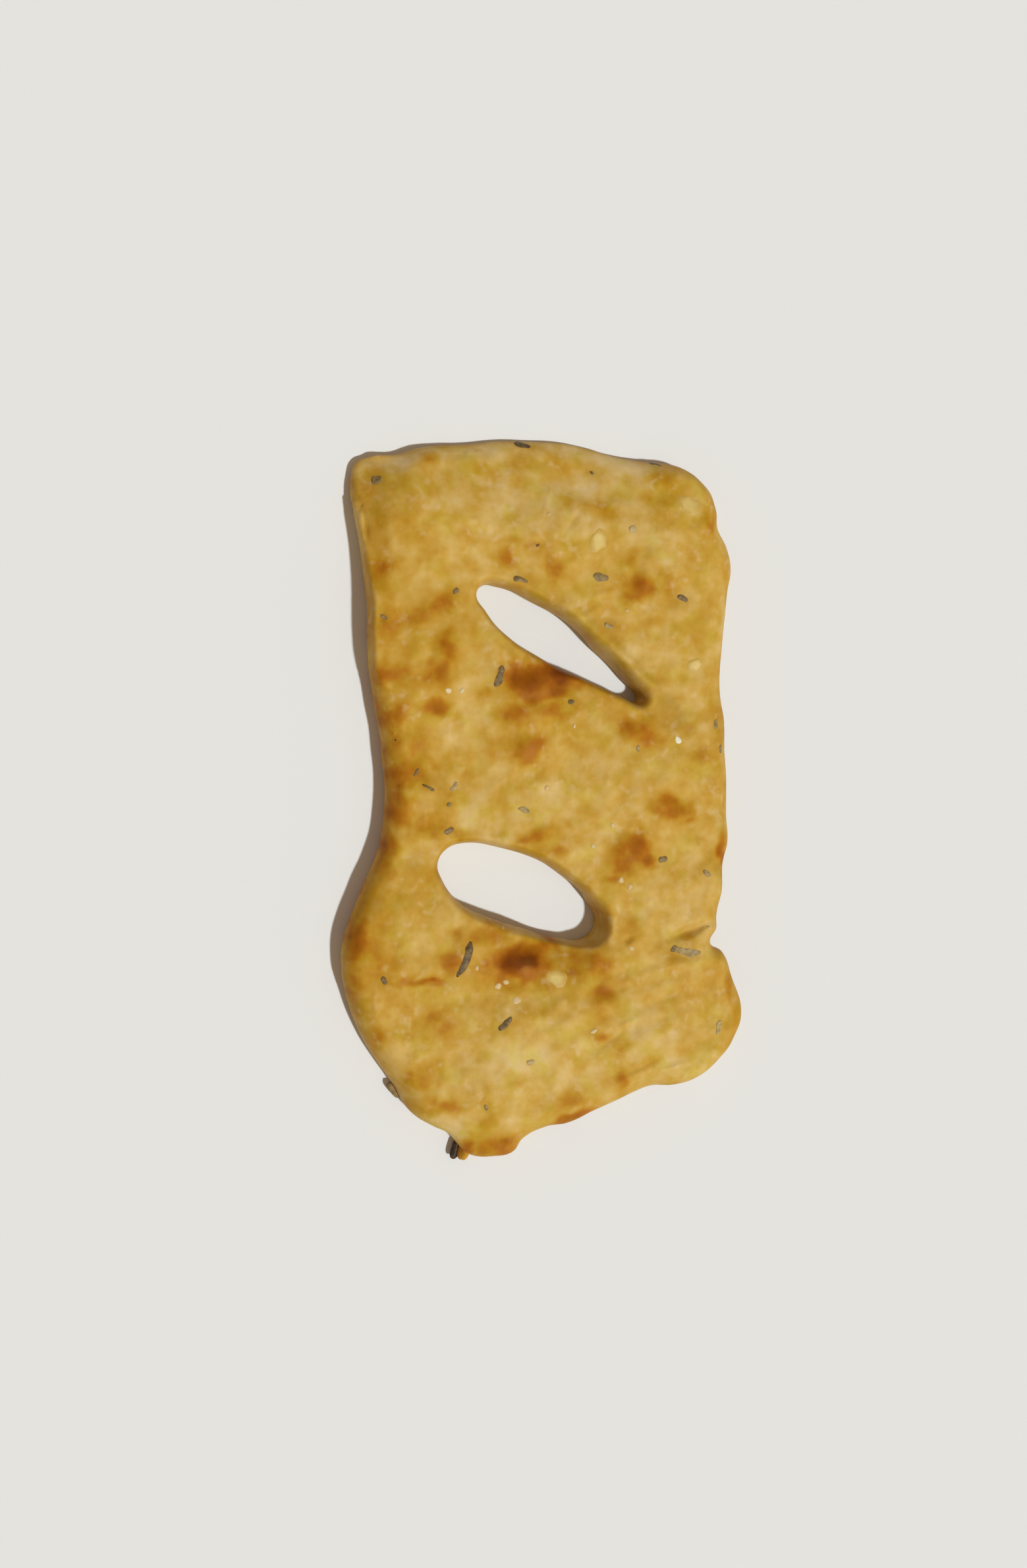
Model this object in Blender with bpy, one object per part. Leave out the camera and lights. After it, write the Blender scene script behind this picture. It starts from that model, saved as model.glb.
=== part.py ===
"""Fougasse: a flat, oil-brushed bread with two slashes pulled open and chopped herbs baked into its crust.

It lies on its base with the crust up. X runs across the bread, Y along it from the pointed toe to the
broad end, and Z up. The origin is under the middle of the bread, on the surface that it rests on.
Sizes are in millimetres and degrees, and become metres where a mesh is made.
"""

import math

import bmesh
import bpy
import numpy as np
from mathutils import Matrix, Vector, bvhtree, kdtree, noise

MM = 0.001

# The dough
CRUST_HEIGHT = 9.0  # from the base to the crust, away from the edges and before the relief
GIRTH_HEIGHT = 3.9  # where the edge stands out furthest
PULLED_ROUND = 4.8  # how far in the crust curves down to an edge pulled by hand
CUT_ROUND = 1.7  # the same, in the slashes
BASE_ROUND = 0.56  # how far in the base curves up to the edge, for each millimetre of the girth's height
RAGGED_EDGE = (7.0, 0.3)  # unevenness of the edge: length of a wave and its height
RAGGED_REACH = 6.0  # how far in the edge's unevenness reaches
SKIN_GRID = 1.15  # spacing of the skin's points, before the flatter parts are thinned out
SKIN_TRIANGLES = 7600
KNOT_STEPS = 10  # straight pieces from one point of an outline to the next
NEAR_EDGE = 1.2  # closer to the outline than this, the way in is square to it
FORM_FADE = 1.5  # how far out a special form of the edge still has a share, as its reach squared
BASE_TRIM = 0.06  # taken off the base, so that it lies flat
SNAP = 0.01  # a point this close to the trim lies on it

# What stands over the origin, in the coordinates of the outline
MIDDLE = (1.5, -0.65)

# The dough's edge at its girth, clockwise from the square corner
TOP_EDGE = [(-39.3, 65.5), (-38.2, 69.0), (-35.6, 69.9), (-30.6, 70.4), (-25.2, 72.2), (-14.3, 73.6),
            (-4.0, 74.4), (4.0, 74.4), (11.0, 73.4), (16.0, 72.0), (22.5, 71.1), (31.0, 70.0)]
BLUNT_CORNER = [(35.8, 66.3), (38.2, 61.0), (38.5, 57.0), (40.6, 53.0), (41.6, 49.0), (41.0, 43.0),
                (39.7, 31.5)]
RIGHT_SIDE = [(39.4, 25.0), (40.4, 16.0), (40.9, 5.0), (41.1, -3.5), (41.5, -9.5), (40.5, -14.0),
              (40.1, -20.5), (38.9, -25.6), (38.9, -28.3)]
PINCH = [(37.6, -31.3)]
LOBE = [(40.4, -33.2), (42.8, -39.2), (45.0, -46.9), (43.5, -52.2), (40.6, -56.1), (35.0, -60.3),
        (29.0, -61.7), (23.8, -61.8)]
LOWER_EDGE = [(19.9, -63.1), (11.6, -66.3), (5.6, -68.7), (0.8, -69.2), (-4.1, -71.3)]
TOE = [(-6.2, -73.9), (-10.5, -74.9), (-13.8, -74.7), (-16.2, -73.5), (-17.8, -71.7), (-19.8, -69.4)]
HEEL = [(-23.0, -67.6), (-27.9, -64.5), (-30.9, -59.3), (-36.9, -49.8), (-40.5, -41.0), (-42.0, -33.0),
        (-41.2, -26.8), (-38.3, -19.4)]
WAIST = [(-34.6, -11.5), (-33.1, -4.5), (-32.7, 2.5), (-33.7, 11.5), (-35.8, 25.0), (-36.4, 33.0),
         (-36.5, 41.5), (-37.9, 52.0)]
DOUGH_EDGE = TOP_EDGE + BLUNT_CORNER + RIGHT_SIDE + PINCH + LOBE + LOWER_EDGE + TOE + HEEL + WAIST

# The two slashes, clockwise from their left ends. The upper one comes to a sharp end
UPPER_SLASH = [(-14.1, 42.3), (-12.6, 44.2), (-9.4, 44.0), (-2.7, 41.5), (5.3, 37.1), (12.3, 31.0),
               (18.2, 25.4), (21.1, 21.6), (20.6, 20.9), (16.2, 22.1), (8.0, 25.3), (-0.8, 29.5),
               (-7.8, 34.0), (-12.1, 38.7)]
LOWER_SLASH = [(-22.1, -13.0), (-20.5, -10.3), (-16.8, -9.0), (-9.0, -9.9), (-1.4, -12.4), (6.0, -17.3),
               (10.4, -21.6), (12.6, -25.8), (11.4, -29.2), (3.8, -29.5), (-4.6, -26.9), (-12.5, -24.0),
               (-18.6, -20.2), (-21.3, -16.0)]

# Where an edge has another form: (x, y, half length, half width, turn, girth height, how far in it curves)
EDGE_FORMS = [
    (-37.5, 46.0, 17.0, 5.0, 94, 1.6, 2.4),  # the side cut with a knife
    (0.0, 72.5, 40.0, 7.0, -4, 0.9, 6.5),  # the broad end, pressed thin
    (-34.0, -52.0, 15.0, 6.0, -60, 2.0, 4.8),  # the heel
    (3.0, -29.0, 8.0, 3.0, -8, 2.0, 4.0), (11.0, -24.5, 8.0, 3.5, -60, 0.8, 4.5),  # the lower slash's end
    (17.5, 26.0, 9.0, 4.0, -45, 2.2, 3.0),  # the upper slash's end
]

# The crust's relief, as spots of (x, y, half length, half width, turn, rise). A spot that sinks has a
# rise under zero
PUFFS = [
    (-22.0, 56.0, 18.0, 13.0, 20, 0.8), (3.0, 55.0, 13.0, 11.5, -10, 1.0), (28.0, 50.0, 12.0, 16.0, 0, 0.9),
    (-24.0, 24.0, 10.0, 17.0, 0, 0.8), (-4.0, 15.0, 15.0, 11.0, 10, 0.9), (26.0, 4.0, 12.0, 17.0, 0, 0.9),
    (-26.0, -28.0, 13.0, 17.0, 0, 1.0), (0.0, -46.0, 19.0, 11.0, 15, 0.8), (28.0, -50.0, 13.0, 9.0, 20, 0.6),
    (-12.0, -60.0, 12.0, 9.0, 0, 0.7), (-33.0, 36.0, 7.0, 26.0, 0, 0.8),
]
BLISTERS = [
    (-2.0, 23.9, 7.0, 4.0, 8, 0.9), (-2.5, 17.5, 5.5, 3.4, 0, 0.6), (-4.4, 10.2, 4.2, 4.0, 0, 0.7),
    (18.8, 13.2, 5.0, 3.4, -10, 0.8), (26.6, -2.4, 6.4, 3.2, -18, 0.6), (17.9, -10.6, 4.9, 4.3, 0, 0.9),
    (-1.0, -7.0, 4.4, 2.4, 15, 0.5), (-5.5, -33.6, 5.2, 4.1, 0, 1.0), (-21.7, 29.6, 2.8, 5.0, 0, 0.5),
    (20.9, 44.9, 3.0, 3.6, 0, 0.5), (14.1, 60.7, 4.4, 2.2, 5, 0.4), (35.8, 57.5, 3.2, 3.2, 0, 0.5),
    (-30.2, 1.0, 4.0, 5.0, 0, 0.5), (10.8, -33.8, 2.8, 3.6, 0, 0.5), (-8.0, -72.0, 3.6, 2.4, 15, 0.5),
]
HOLLOWS = [
    (-37.0, 54.5, 8.0, 1.5, 97, -1.8), (23.0, 19.8, 5.0, 1.6, -32, -1.6), (31.5, -28.1, 8.0, 1.7, 17, -1.0),
    (30.5, -33.0, 6.5, 2.2, -2, -0.5), (-14.0, -40.0, 9.0, 4.0, 10, -0.4), (10.0, -40.5, 7.0, 2.6, 10, -0.5),
    (-28.0, -10.5, 6.0, 4.0, 30, -0.4), (30.0, 63.0, 6.0, 2.6, -20, -0.3),
    (38.0, -48.0, 22.0, 17.0, 0, -1.8), (-16.0, -74.0, 12.0, 9.0, 0, -1.6),
    (-2.0, 76.0, 44.0, 14.0, -3, -3.4), (-41.0, 70.0, 16.0, 13.0, 30, -3.8),
]
CREASE = (-25.5, -36.7, 5.6, 0.9, -6, -0.45)

# The dough pulled out by the pinch is wrinkled, in ridges that run from the pinch towards the toe
WRINKLED = (17.0, -43.0, 26.0, 11.0, 17, 0.14)
WRINKLE_SPACING = 4.2
WRINKLE_WANDER = (11.0, 3.0)

# Unevenness that repeats nowhere: length of a wave and its height
SWELLS = (19.0, 0.5)
LUMPS = (6.5, 0.32)

# Herb pieces pressed into the crust: (x, y, length, width, turn)
HERBS = [
    (-17.0, -32.5, 8.3, 1.9, 67), (30.7, -32.6, 7.2, 1.8, -10), (-9.8, 25.5, 4.9, 1.8, 69),
    (-8.7, -46.1, 4.3, 1.5, 35), (11.6, 46.0, 3.6, 1.9, -3), (-4.0, 72.5, 3.6, 1.4, -17),
    (38.7, -49.3, 3.4, 1.7, 82), (-5.4, 45.2, 3.4, 1.3, -18), (-4.8, -1.9, 3.3, 1.2, -16),
    (-24.9, 2.9, 3.1, 1.1, -38), (35.2, -15.9, 2.9, 1.7, -44), (29.3, 42.1, 2.8, 1.5, -30),
    (-19.3, 3.0, 2.6, 1.5, 44), (-20.4, -6.0, 2.4, 1.4, 19), (13.4, 36.1, 2.1, 1.5, -30),
    (-34.5, 64.9, 2.2, 1.8, 2), (25.4, -12.9, 1.9, 1.5, 0), (24.0, 69.6, 2.0, 1.3, -7),
    (-34.0, -36.1, 2.0, 1.4, -77), (37.2, 15.5, 2.0, 1.5, 81), (18.5, 56.1, 1.9, 1.6, 0),
    (5.3, 20.4, 1.5, 1.4, 0), (-19.2, 42.6, 1.5, 1.3, 30), (-3.3, -54.3, 1.6, 1.3, 21),
]
HERB_THICKNESS = 1.1
HERB_SINK = 0.1  # how deep the middle of a piece lies under the crust
HERB_SIDES = 6
HERB_RINGS = 4
HERB_BEND = 0.035  # how far a piece bows, for the square of its length
OVER_ALL = 50  # a height over everything, from where a piece is let down on the crust

# Three pieces stand out of the edge: a herb at the heel, and by the toe a charred herb and the curl of
# dough that holds it. (x, y, height, length, width, thickness, turn)
EDGE_PIECES = [
    (-30.9, -60.4, 2.8, 4.2, 2.0, 1.3, -52), (-17.8, -73.5, 3.9, 4.9, 1.7, 1.3, 73),
    (-15.9, -73.9, 3.7, 4.0, 3.0, 4.2, 78),
]

CRUST_COLOUR = (0.53, 0.30, 0.06, 1.0)
CRUST_ROUGHNESS = 0.5
SHARP_BEND = 50  # the skin is shaded smooth where it bends by less than this


def clear_scene():
    for obj in list(bpy.data.objects):
        bpy.data.objects.remove(obj, do_unlink=True)


def put_in_scene(name, data):
    obj = bpy.data.objects.new(name, data)
    bpy.context.scene.collection.objects.link(obj)
    return obj


def take_mesh(obj):
    """A mesh of what an object shows with its modifiers, in place. The object itself goes."""
    bpy.context.view_layer.update()
    graph = bpy.context.evaluated_depsgraph_get()
    mesh = bpy.data.meshes.new_from_object(obj.evaluated_get(graph))
    mesh.transform(obj.matrix_world)
    bpy.data.objects.remove(obj, do_unlink=True)
    return mesh


def points_of(mesh):
    """A mesh's points in millimetres, one row for each."""
    return np.array([vertex.co for vertex in mesh.vertices]) / MM


def baked_crust():
    """The golden crust, brushed with oil."""
    material = bpy.data.materials.new("baked_crust")
    material.use_nodes = True
    shader = material.node_tree.nodes["Principled BSDF"]
    shader.inputs["Base Color"].default_value = CRUST_COLOUR
    shader.inputs["Roughness"].default_value = CRUST_ROUGHNESS
    shader.inputs["Metallic"].default_value = 0.0
    return material


# --- Outlines ---


def outline(name, loops, thickness):
    """A curve object with a smooth closed spline through each loop's points. With a thickness it is a slab
    that stands on z = 0, open inside the inner loops."""
    curve = bpy.data.curves.new(name, "CURVE")
    curve.dimensions = "2D"
    curve.resolution_u = KNOT_STEPS
    curve.fill_mode = "BOTH" if thickness else "NONE"
    curve.extrude = thickness / 2 * MM
    for loop in loops:
        spline = curve.splines.new("BEZIER")
        spline.bezier_points.add(len(loop) - 1)
        spline.use_cyclic_u = True
        for knot, (x, y) in zip(spline.bezier_points, loop):
            knot.co = (x * MM, y * MM, 0)
            knot.handle_left_type = knot.handle_right_type = "AUTO"
    obj = put_in_scene(name, curve)
    obj.location.z = thickness / 2 * MM
    return obj


def spot_reach(points, spot):
    """How far out each point is on a spot, squared: 0 in its middle and 1 on its rim."""
    x, y, half_length, half_width, turn = spot[:5]
    turn = math.radians(turn)
    offset = points - (x, y)
    along = offset @ (math.cos(turn), math.sin(turn))
    across = offset @ (-math.sin(turn), math.cos(turn))
    return (along / half_length) ** 2 + (across / half_width) ** 2


def edge_form(ring, reach):
    """The girth's height and the reach of the curve up to the crust, for each point of a ring. The reach
    is what it is away from the special forms, which fade in smoothly."""
    girths, reaches = np.full(len(ring), GIRTH_HEIGHT), np.full(len(ring), reach)
    for form in EDGE_FORMS:
        share = np.clip(FORM_FADE - spot_reach(ring, form), 0, 1)
        share = share * share * (3 - 2 * share)
        girths += share * (form[5] - girths)
        reaches += share * (form[6] - reaches)
    return girths, reaches


class Edges:
    """Points along the dough's edge and the slashes. Each has its way into the dough, square to the
    outline, its girth's height and the reach of the curve from there up to the crust."""

    def __init__(self):
        places, ways_in, girths, reaches = [], [], [], []
        for loop in (DOUGH_EDGE, UPPER_SLASH, LOWER_SLASH):
            ring = points_of(take_mesh(outline("guide", [loop], 0)))[:, :2]
            along = np.roll(ring, -1, 0) - np.roll(ring, 1, 0)
            along /= np.linalg.norm(along, axis=1)[:, None]
            # Going clockwise, the dough is on the right of its edge and on the left of a slash
            side = 1 if loop is DOUGH_EDGE else -1
            girth, reach = edge_form(ring, PULLED_ROUND if loop is DOUGH_EDGE else CUT_ROUND)
            places.append(ring)
            ways_in.append(side * np.column_stack([along[:, 1], -along[:, 0]]))
            girths.append(girth)
            reaches.append(reach)
        self.places = np.concatenate(places)
        self.ways_in = np.concatenate(ways_in)
        self.girths = np.concatenate(girths)
        self.reaches = np.concatenate(reaches)
        self.tree = kdtree.KDTree(len(self.places))
        for index, (x, y) in enumerate(self.places):
            self.tree.insert((x, y, 0), index)
        self.tree.balance()

    def nearest(self, points):
        """For each point: its distance from the edge, its way in, and the girth and the reach there."""
        found = [self.tree.find((x, y, 0))[1] for x, y in points]
        offset = points - self.places[found]
        straight = np.linalg.norm(offset, axis=1)
        square = (offset * self.ways_in[found]).sum(axis=1)
        near = straight < NEAR_EDGE
        distance = np.where(near, np.maximum(square, 0), straight)
        radial = offset / np.maximum(straight, NEAR_EDGE)[:, None]
        way_in = np.where(near[:, None], self.ways_in[found], radial)
        return distance, way_in, self.girths[found], self.reaches[found]


# --- Relief ---


def dome(points, spot):
    """The height that a spot adds, which levels out at its rim."""
    return spot[5] * np.clip(1 - spot_reach(points, spot), 0, 1) ** 2


def waves(points, length, height, layer):
    """Uneven waves. Each layer has waves of its own."""
    return height * np.array([noise.noise((x / length, y / length, layer)) for x, y in points])


def wrinkles(points):
    """Ridges that run along the wrinkled patch and wander a little."""
    turn = math.radians(WRINKLED[4])
    across = points @ (-math.sin(turn), math.cos(turn)) + waves(points, *WRINKLE_WANDER, 3.5)
    patch = np.clip(1 - spot_reach(points, WRINKLED), 0, 1)
    return WRINKLED[5] * patch * np.cos(2 * math.pi * across / WRINKLE_SPACING)


def crust_height(points):
    """How high the crust lies over each point, away from the edges."""
    height = CRUST_HEIGHT + wrinkles(points)
    height += waves(points, *SWELLS, 1.5) + waves(points, *LUMPS, 2.5)
    for spot in [*PUFFS, *BLISTERS, *HOLLOWS, CREASE]:
        height += dome(points, spot)
    return height


# --- Dough ---


def dough_slab():
    """The outline as a slab of even thickness, its skin an even grid of points."""
    mesh = take_mesh(outline("slab", [DOUGH_EDGE, UPPER_SLASH, LOWER_SLASH], CRUST_HEIGHT))
    slab = put_in_scene("slab", mesh)
    remesh = slab.modifiers.new("even_grid", "REMESH")
    remesh.mode = "VOXEL"
    remesh.voxel_size = SKIN_GRID * MM
    return take_mesh(slab)


def bake_slab(mesh):
    """Rounds the slab's edges over, above and below the girth, and raises its top to the crust."""
    skin = points_of(mesh)
    flat, z = skin[:, :2], skin[:, 2]
    distance, way_in, girth, top_reach = Edges().nearest(flat)
    above = z > girth
    reach = np.where(above, top_reach, BASE_ROUND * girth)
    # A point at (a, s) of the square between the girth, the edge and the crust moves to the quarter
    # circle that fits in it, so what was the slab's arris lies halfway round the curve
    a = np.clip(1 - distance / reach, 0, 1)
    s = np.clip((z - girth) / np.where(above, CRUST_HEIGHT - girth, girth), -1, 1)
    inward = reach * (a - a * np.sqrt(1 - s**2 / 2))
    level = s * np.sqrt(1 - a**2 / 2)
    inward += waves(flat, *RAGGED_EDGE, 4.5) * np.clip(1 - distance / RAGGED_REACH, 0, 1) ** 2
    span = np.where(above, crust_height(flat) - girth, girth)
    baked = np.column_stack([flat + inward[:, None] * way_in, girth + level * span])
    for vertex, co in zip(mesh.vertices, baked * MM):
        vertex.co = co
    return mesh


def thin_out(mesh):
    """Fewer triangles, kept where the skin curves most."""
    obj = put_in_scene("skin", mesh)
    mesh.calc_loop_triangles()
    decimate = obj.modifiers.new("thin_out", "DECIMATE")
    decimate.ratio = SKIN_TRIANGLES / len(mesh.loop_triangles)
    return take_mesh(obj)


def trim_base(mesh):
    """Cuts the base to a plane, closes the cut and stands the skin on it."""
    shape = bmesh.new()
    shape.from_mesh(mesh)
    bmesh.ops.translate(shape, verts=shape.verts, vec=(0, 0, -BASE_TRIM * MM))
    everything = shape.verts[:] + shape.edges[:] + shape.faces[:]
    cut = bmesh.ops.bisect_plane(
        shape, geom=everything, dist=SNAP * MM, use_snap_center=True,
        plane_co=(0, 0, 0), plane_no=(0, 0, -1), clear_outer=True,
    )
    rims = [piece for piece in cut["geom_cut"] if isinstance(piece, bmesh.types.BMEdge)]
    bmesh.ops.triangle_fill(shape, edges=rims, use_beauty=True, normal=(0, 0, -1))
    shape.to_mesh(mesh)
    shape.free()
    return mesh


# --- Herbs and crumbs ---


def flake(length, width, thickness):
    """A leaf blade bowed along its length, which lies along X in the XY plane."""
    shape = bmesh.new()
    upright = Matrix.Rotation(math.radians(90), 4, "Y")
    bmesh.ops.create_uvsphere(
        shape, u_segments=HERB_SIDES, v_segments=HERB_RINGS, radius=0.5, matrix=upright
    )
    for vertex in shape.verts:
        x, y, z = vertex.co.x * length, vertex.co.y * width, vertex.co.z * thickness
        vertex.co = Vector((x, y + HERB_BEND * x * x, z)) * MM
    mesh = bpy.data.meshes.new("flake")
    shape.to_mesh(mesh)
    shape.free()
    return mesh


def pieces_on(skin):
    """A collection of every piece, laid on the skin or stuck in its edge."""
    crust = bvhtree.BVHTree.FromPolygons(
        [vertex.co for vertex in skin.vertices], [face.vertices for face in skin.polygons]
    )
    pieces = bpy.data.collections.new("pieces")
    up = Vector((0, 0, 1))
    for x, y, length, width, turn in HERBS:
        place, normal, *_ = crust.ray_cast(Vector((x, y, OVER_ALL)) * MM, -up)
        herb = bpy.data.objects.new("herb", flake(length, width, HERB_THICKNESS))
        lean = up.rotation_difference(normal).to_matrix().to_4x4()
        spin = Matrix.Rotation(math.radians(turn), 4, "Z")
        herb.matrix_world = Matrix.Translation(place - normal * HERB_SINK * MM) @ lean @ spin
        pieces.objects.link(herb)
    for x, y, z, length, width, thickness, turn in EDGE_PIECES:
        piece = bpy.data.objects.new("edge_piece", flake(length, width, thickness))
        piece.location = Vector((x, y, z)) * MM
        piece.rotation_euler.z = math.radians(turn)
        pieces.objects.link(piece)
    bpy.context.scene.collection.children.link(pieces)
    return pieces


def fuse(skin, pieces):
    """One solid of the dough and what is baked into it."""
    bread = put_in_scene("bread", skin)
    join = bread.modifiers.new("join_pieces", "BOOLEAN")
    join.operation = "UNION"
    join.operand_type = "COLLECTION"
    join.collection = pieces
    join.solver = "EXACT"
    mesh = take_mesh(bread)
    for piece in list(pieces.objects):
        bpy.data.objects.remove(piece, do_unlink=True)
    bpy.data.collections.remove(pieces)
    return mesh


def build():
    clear_scene()
    skin = trim_base(thin_out(bake_slab(dough_slab())))
    mesh = fuse(skin, pieces_on(skin))
    mesh.transform(Matrix.Translation(Vector((-MIDDLE[0], -MIDDLE[1], 0)) * MM))
    mesh.materials.clear()
    mesh.materials.append(baked_crust())
    mesh.shade_smooth()
    mesh.set_sharp_from_angle(angle=math.radians(SHARP_BEND))
    put_in_scene("fougasse", mesh)


build()
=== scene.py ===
# %% [markdown]
# # A fougasse, from flat dough to crust
#
# A fougasse is a flat bread whose slashes are pulled open before it is baked. This lesson dresses the
# plain solid of one: the same dough with its blisters, its browning, its oil and its herbs, and the shade,
# light and sheen that are painted on its crust. The solid comes first, because it says where the bread
# lies and how big it is. All that is made here stays in its box.

import math
import random

import bpy
import numpy as np
from mathutils import Matrix, Vector, bvhtree, kdtree, noise


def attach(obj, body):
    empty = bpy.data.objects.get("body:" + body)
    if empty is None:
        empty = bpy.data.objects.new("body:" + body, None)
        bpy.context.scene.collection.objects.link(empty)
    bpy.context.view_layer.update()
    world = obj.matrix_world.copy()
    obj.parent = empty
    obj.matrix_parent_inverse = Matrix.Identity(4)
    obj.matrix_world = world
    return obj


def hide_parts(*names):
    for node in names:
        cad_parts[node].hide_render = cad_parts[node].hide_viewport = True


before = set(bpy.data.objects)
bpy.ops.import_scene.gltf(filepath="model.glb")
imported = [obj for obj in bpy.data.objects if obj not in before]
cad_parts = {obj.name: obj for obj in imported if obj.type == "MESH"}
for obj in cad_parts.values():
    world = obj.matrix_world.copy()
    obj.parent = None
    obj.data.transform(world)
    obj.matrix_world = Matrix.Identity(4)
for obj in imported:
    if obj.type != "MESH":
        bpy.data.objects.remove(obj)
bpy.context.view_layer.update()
MM = 0.001  # sizes are in millimetres, times this where Blender wants metres

# %% [markdown]
# ## The camera
#
# The camera looks down on the bread from a third of a metre up, a little from the left, so that the
# walls of both slashes show. A camera can be turned by angles, but here it is easier to say where it
# stands and what it aims at, and to keep its right side level with the bread's width.

# %% The camera
CAMERA_PLACE = Vector((-87.04, 19.60, 333.04)) * MM
CAMERA_AIM = Vector((-7.51, 3.88, 5.0)) * MM
LENS = 37.36  # for a sensor 36 wide, along the picture's long side
NEAREST_SHOWN = 10

bpy.ops.object.camera_add(location=CAMERA_PLACE)
camera = bpy.context.object
camera.name = "camera"
camera.data.lens = LENS
camera.data.clip_start = NEAREST_SHOWN * MM
back = (CAMERA_PLACE - CAMERA_AIM).normalized()
right = Vector((0, 1, 0)).cross(back).normalized()
camera.matrix_world = Matrix((right, back.cross(right), back)).transposed().to_4x4()
camera.matrix_world.translation = CAMERA_PLACE
bpy.context.scene.camera = camera
print("the camera stands", round((CAMERA_PLACE - CAMERA_AIM).length / MM), "mm from the crust")

# %% [markdown]
# ## The helpers
#
# Blender's operators work on what is selected and active. Loading the solid leaves it selected, so every
# step first picks one object and nothing else. A modifier is added, set and applied in one go, because
# the finished mesh is what counts.

# %% The helpers
def pick(obj):
    bpy.ops.object.select_all(action="DESELECT")
    obj.select_set(True)
    bpy.context.view_layer.objects.active = obj
    return obj


def finish_with(obj, kind, **settings):
    pick(obj)
    bpy.ops.object.modifier_add(type=kind)
    modifier = obj.modifiers[-1]
    for name, value in settings.items():
        setattr(modifier, name, value)
    bpy.ops.object.modifier_apply(modifier=modifier.name)


def settle(obj):
    pick(obj)
    bpy.ops.object.transform_apply(location=True, rotation=True, scale=True)
    return obj


def copied(obj):
    pick(obj)
    bpy.ops.object.duplicate()
    return bpy.context.object


def joined(objects, name):
    whole = pick(objects[0])
    for obj in objects[1:]:
        obj.select_set(True)
    bpy.ops.object.join()
    whole.name = name
    return whole


def count(obj):
    obj.data.calc_loop_triangles()
    return f"{obj.name}: {len(obj.data.vertices)} points, {len(obj.data.loop_triangles)} triangles"


def points_of(obj):
    flat = np.empty(len(obj.data.vertices) * 3)
    obj.data.vertices.foreach_get("co", flat)
    return flat.reshape(-1, 3) / MM


def move_points(obj, points):
    obj.data.vertices.foreach_set("co", (points * MM).ravel())
    obj.data.update()


print("ready to model")

# %% [markdown]
# ## The outline of the dough
#
# The dough was cut with a knife on its left, pressed thin at its broad end, and pulled by hand
# everywhere else: that gave it a waist, a lobe with a pinch beside it, and a toe. An outline like this
# is traced as a smooth curve through a few knots, clockwise from the square corner, which is quicker to
# change than a mesh. The two slashes are curves of their own. A 2D curve that is filled leaves the inner
# ones open.

# %% The knots of the outline
TOP_EDGE = [(-39.3, 65.5), (-38.2, 69.0), (-35.6, 69.9), (-30.6, 70.4), (-25.2, 72.2), (-14.3, 73.6),
            (-4.0, 74.4), (4.0, 74.4), (11.0, 73.4), (16.0, 72.0), (22.5, 71.1), (31.0, 70.0)]
BLUNT_CORNER = [(35.8, 66.3), (38.2, 61.0), (38.5, 57.0), (40.6, 53.0), (41.6, 49.0), (41.0, 43.0),
                (39.7, 31.5)]
RIGHT_SIDE = [(39.4, 25.0), (40.4, 16.0), (40.9, 5.0), (41.1, -3.5), (41.5, -9.5), (40.5, -14.0),
              (40.1, -20.5), (38.9, -25.6), (38.9, -28.3)]
PINCH = [(37.6, -31.3)]
LOBE = [(40.4, -33.2), (42.8, -39.2), (45.0, -46.9), (43.5, -52.2), (40.6, -56.1), (35.0, -60.3),
        (29.0, -61.7), (23.8, -61.8)]
LOWER_EDGE = [(19.9, -63.1), (11.6, -66.3), (5.6, -68.7), (0.8, -69.2), (-4.1, -71.3)]
TOE = [(-6.2, -73.9), (-10.5, -74.9), (-13.8, -74.7), (-16.2, -73.5), (-17.8, -71.7), (-19.8, -69.4)]
HEEL = [(-23.0, -67.6), (-27.9, -64.5), (-30.9, -59.3), (-36.9, -49.8), (-40.5, -41.0), (-42.0, -33.0),
        (-41.2, -26.8), (-38.3, -19.4)]
WAIST = [(-34.6, -11.5), (-33.1, -4.5), (-32.7, 2.5), (-33.7, 11.5), (-35.8, 25.0), (-36.4, 33.0),
         (-36.5, 41.5), (-37.9, 52.0)]
DOUGH_EDGE = TOP_EDGE + BLUNT_CORNER + RIGHT_SIDE + PINCH + LOBE + LOWER_EDGE + TOE + HEEL + WAIST

UPPER_SLASH = [(-14.1, 42.3), (-12.6, 44.2), (-9.4, 44.0), (-2.7, 41.5), (5.3, 37.1), (12.3, 31.0),
               (18.4, 25.2), (21.9, 20.9), (21.3, 20.2), (16.2, 22.1), (8.0, 25.3), (-0.8, 29.5),
               (-7.8, 34.0), (-12.1, 38.7)]
LOWER_SLASH = [(-22.1, -13.0), (-20.5, -10.3), (-16.8, -9.0), (-9.0, -9.9), (-1.4, -12.4), (6.0, -17.3),
               (10.4, -21.6), (12.6, -25.8), (11.4, -29.2), (3.8, -29.5), (-4.6, -26.9), (-12.5, -24.0),
               (-18.6, -20.2), (-21.3, -16.0)]
MIDDLE = (1.5, -0.65)  # the place in these coordinates that stands over the solid's origin
KNOT_STEPS = 10  # straight pieces from one knot to the next


def traced(name, knots):
    bpy.ops.object.select_all(action="DESELECT")
    bpy.ops.curve.primitive_bezier_circle_add()
    curve = bpy.context.object
    curve.name = name
    curve.data.dimensions = "2D"
    curve.data.resolution_u = KNOT_STEPS
    spline = curve.data.splines[0]
    spline.bezier_points.add(len(knots) - len(spline.bezier_points))
    for knot, (x, y) in zip(spline.bezier_points, knots):
        knot.co = (x * MM, y * MM, 0)
        knot.handle_left_type = knot.handle_right_type = "AUTO"
    return curve


print(len(DOUGH_EDGE), "knots round the dough and", len(UPPER_SLASH + LOWER_SLASH), "round its slashes")

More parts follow.
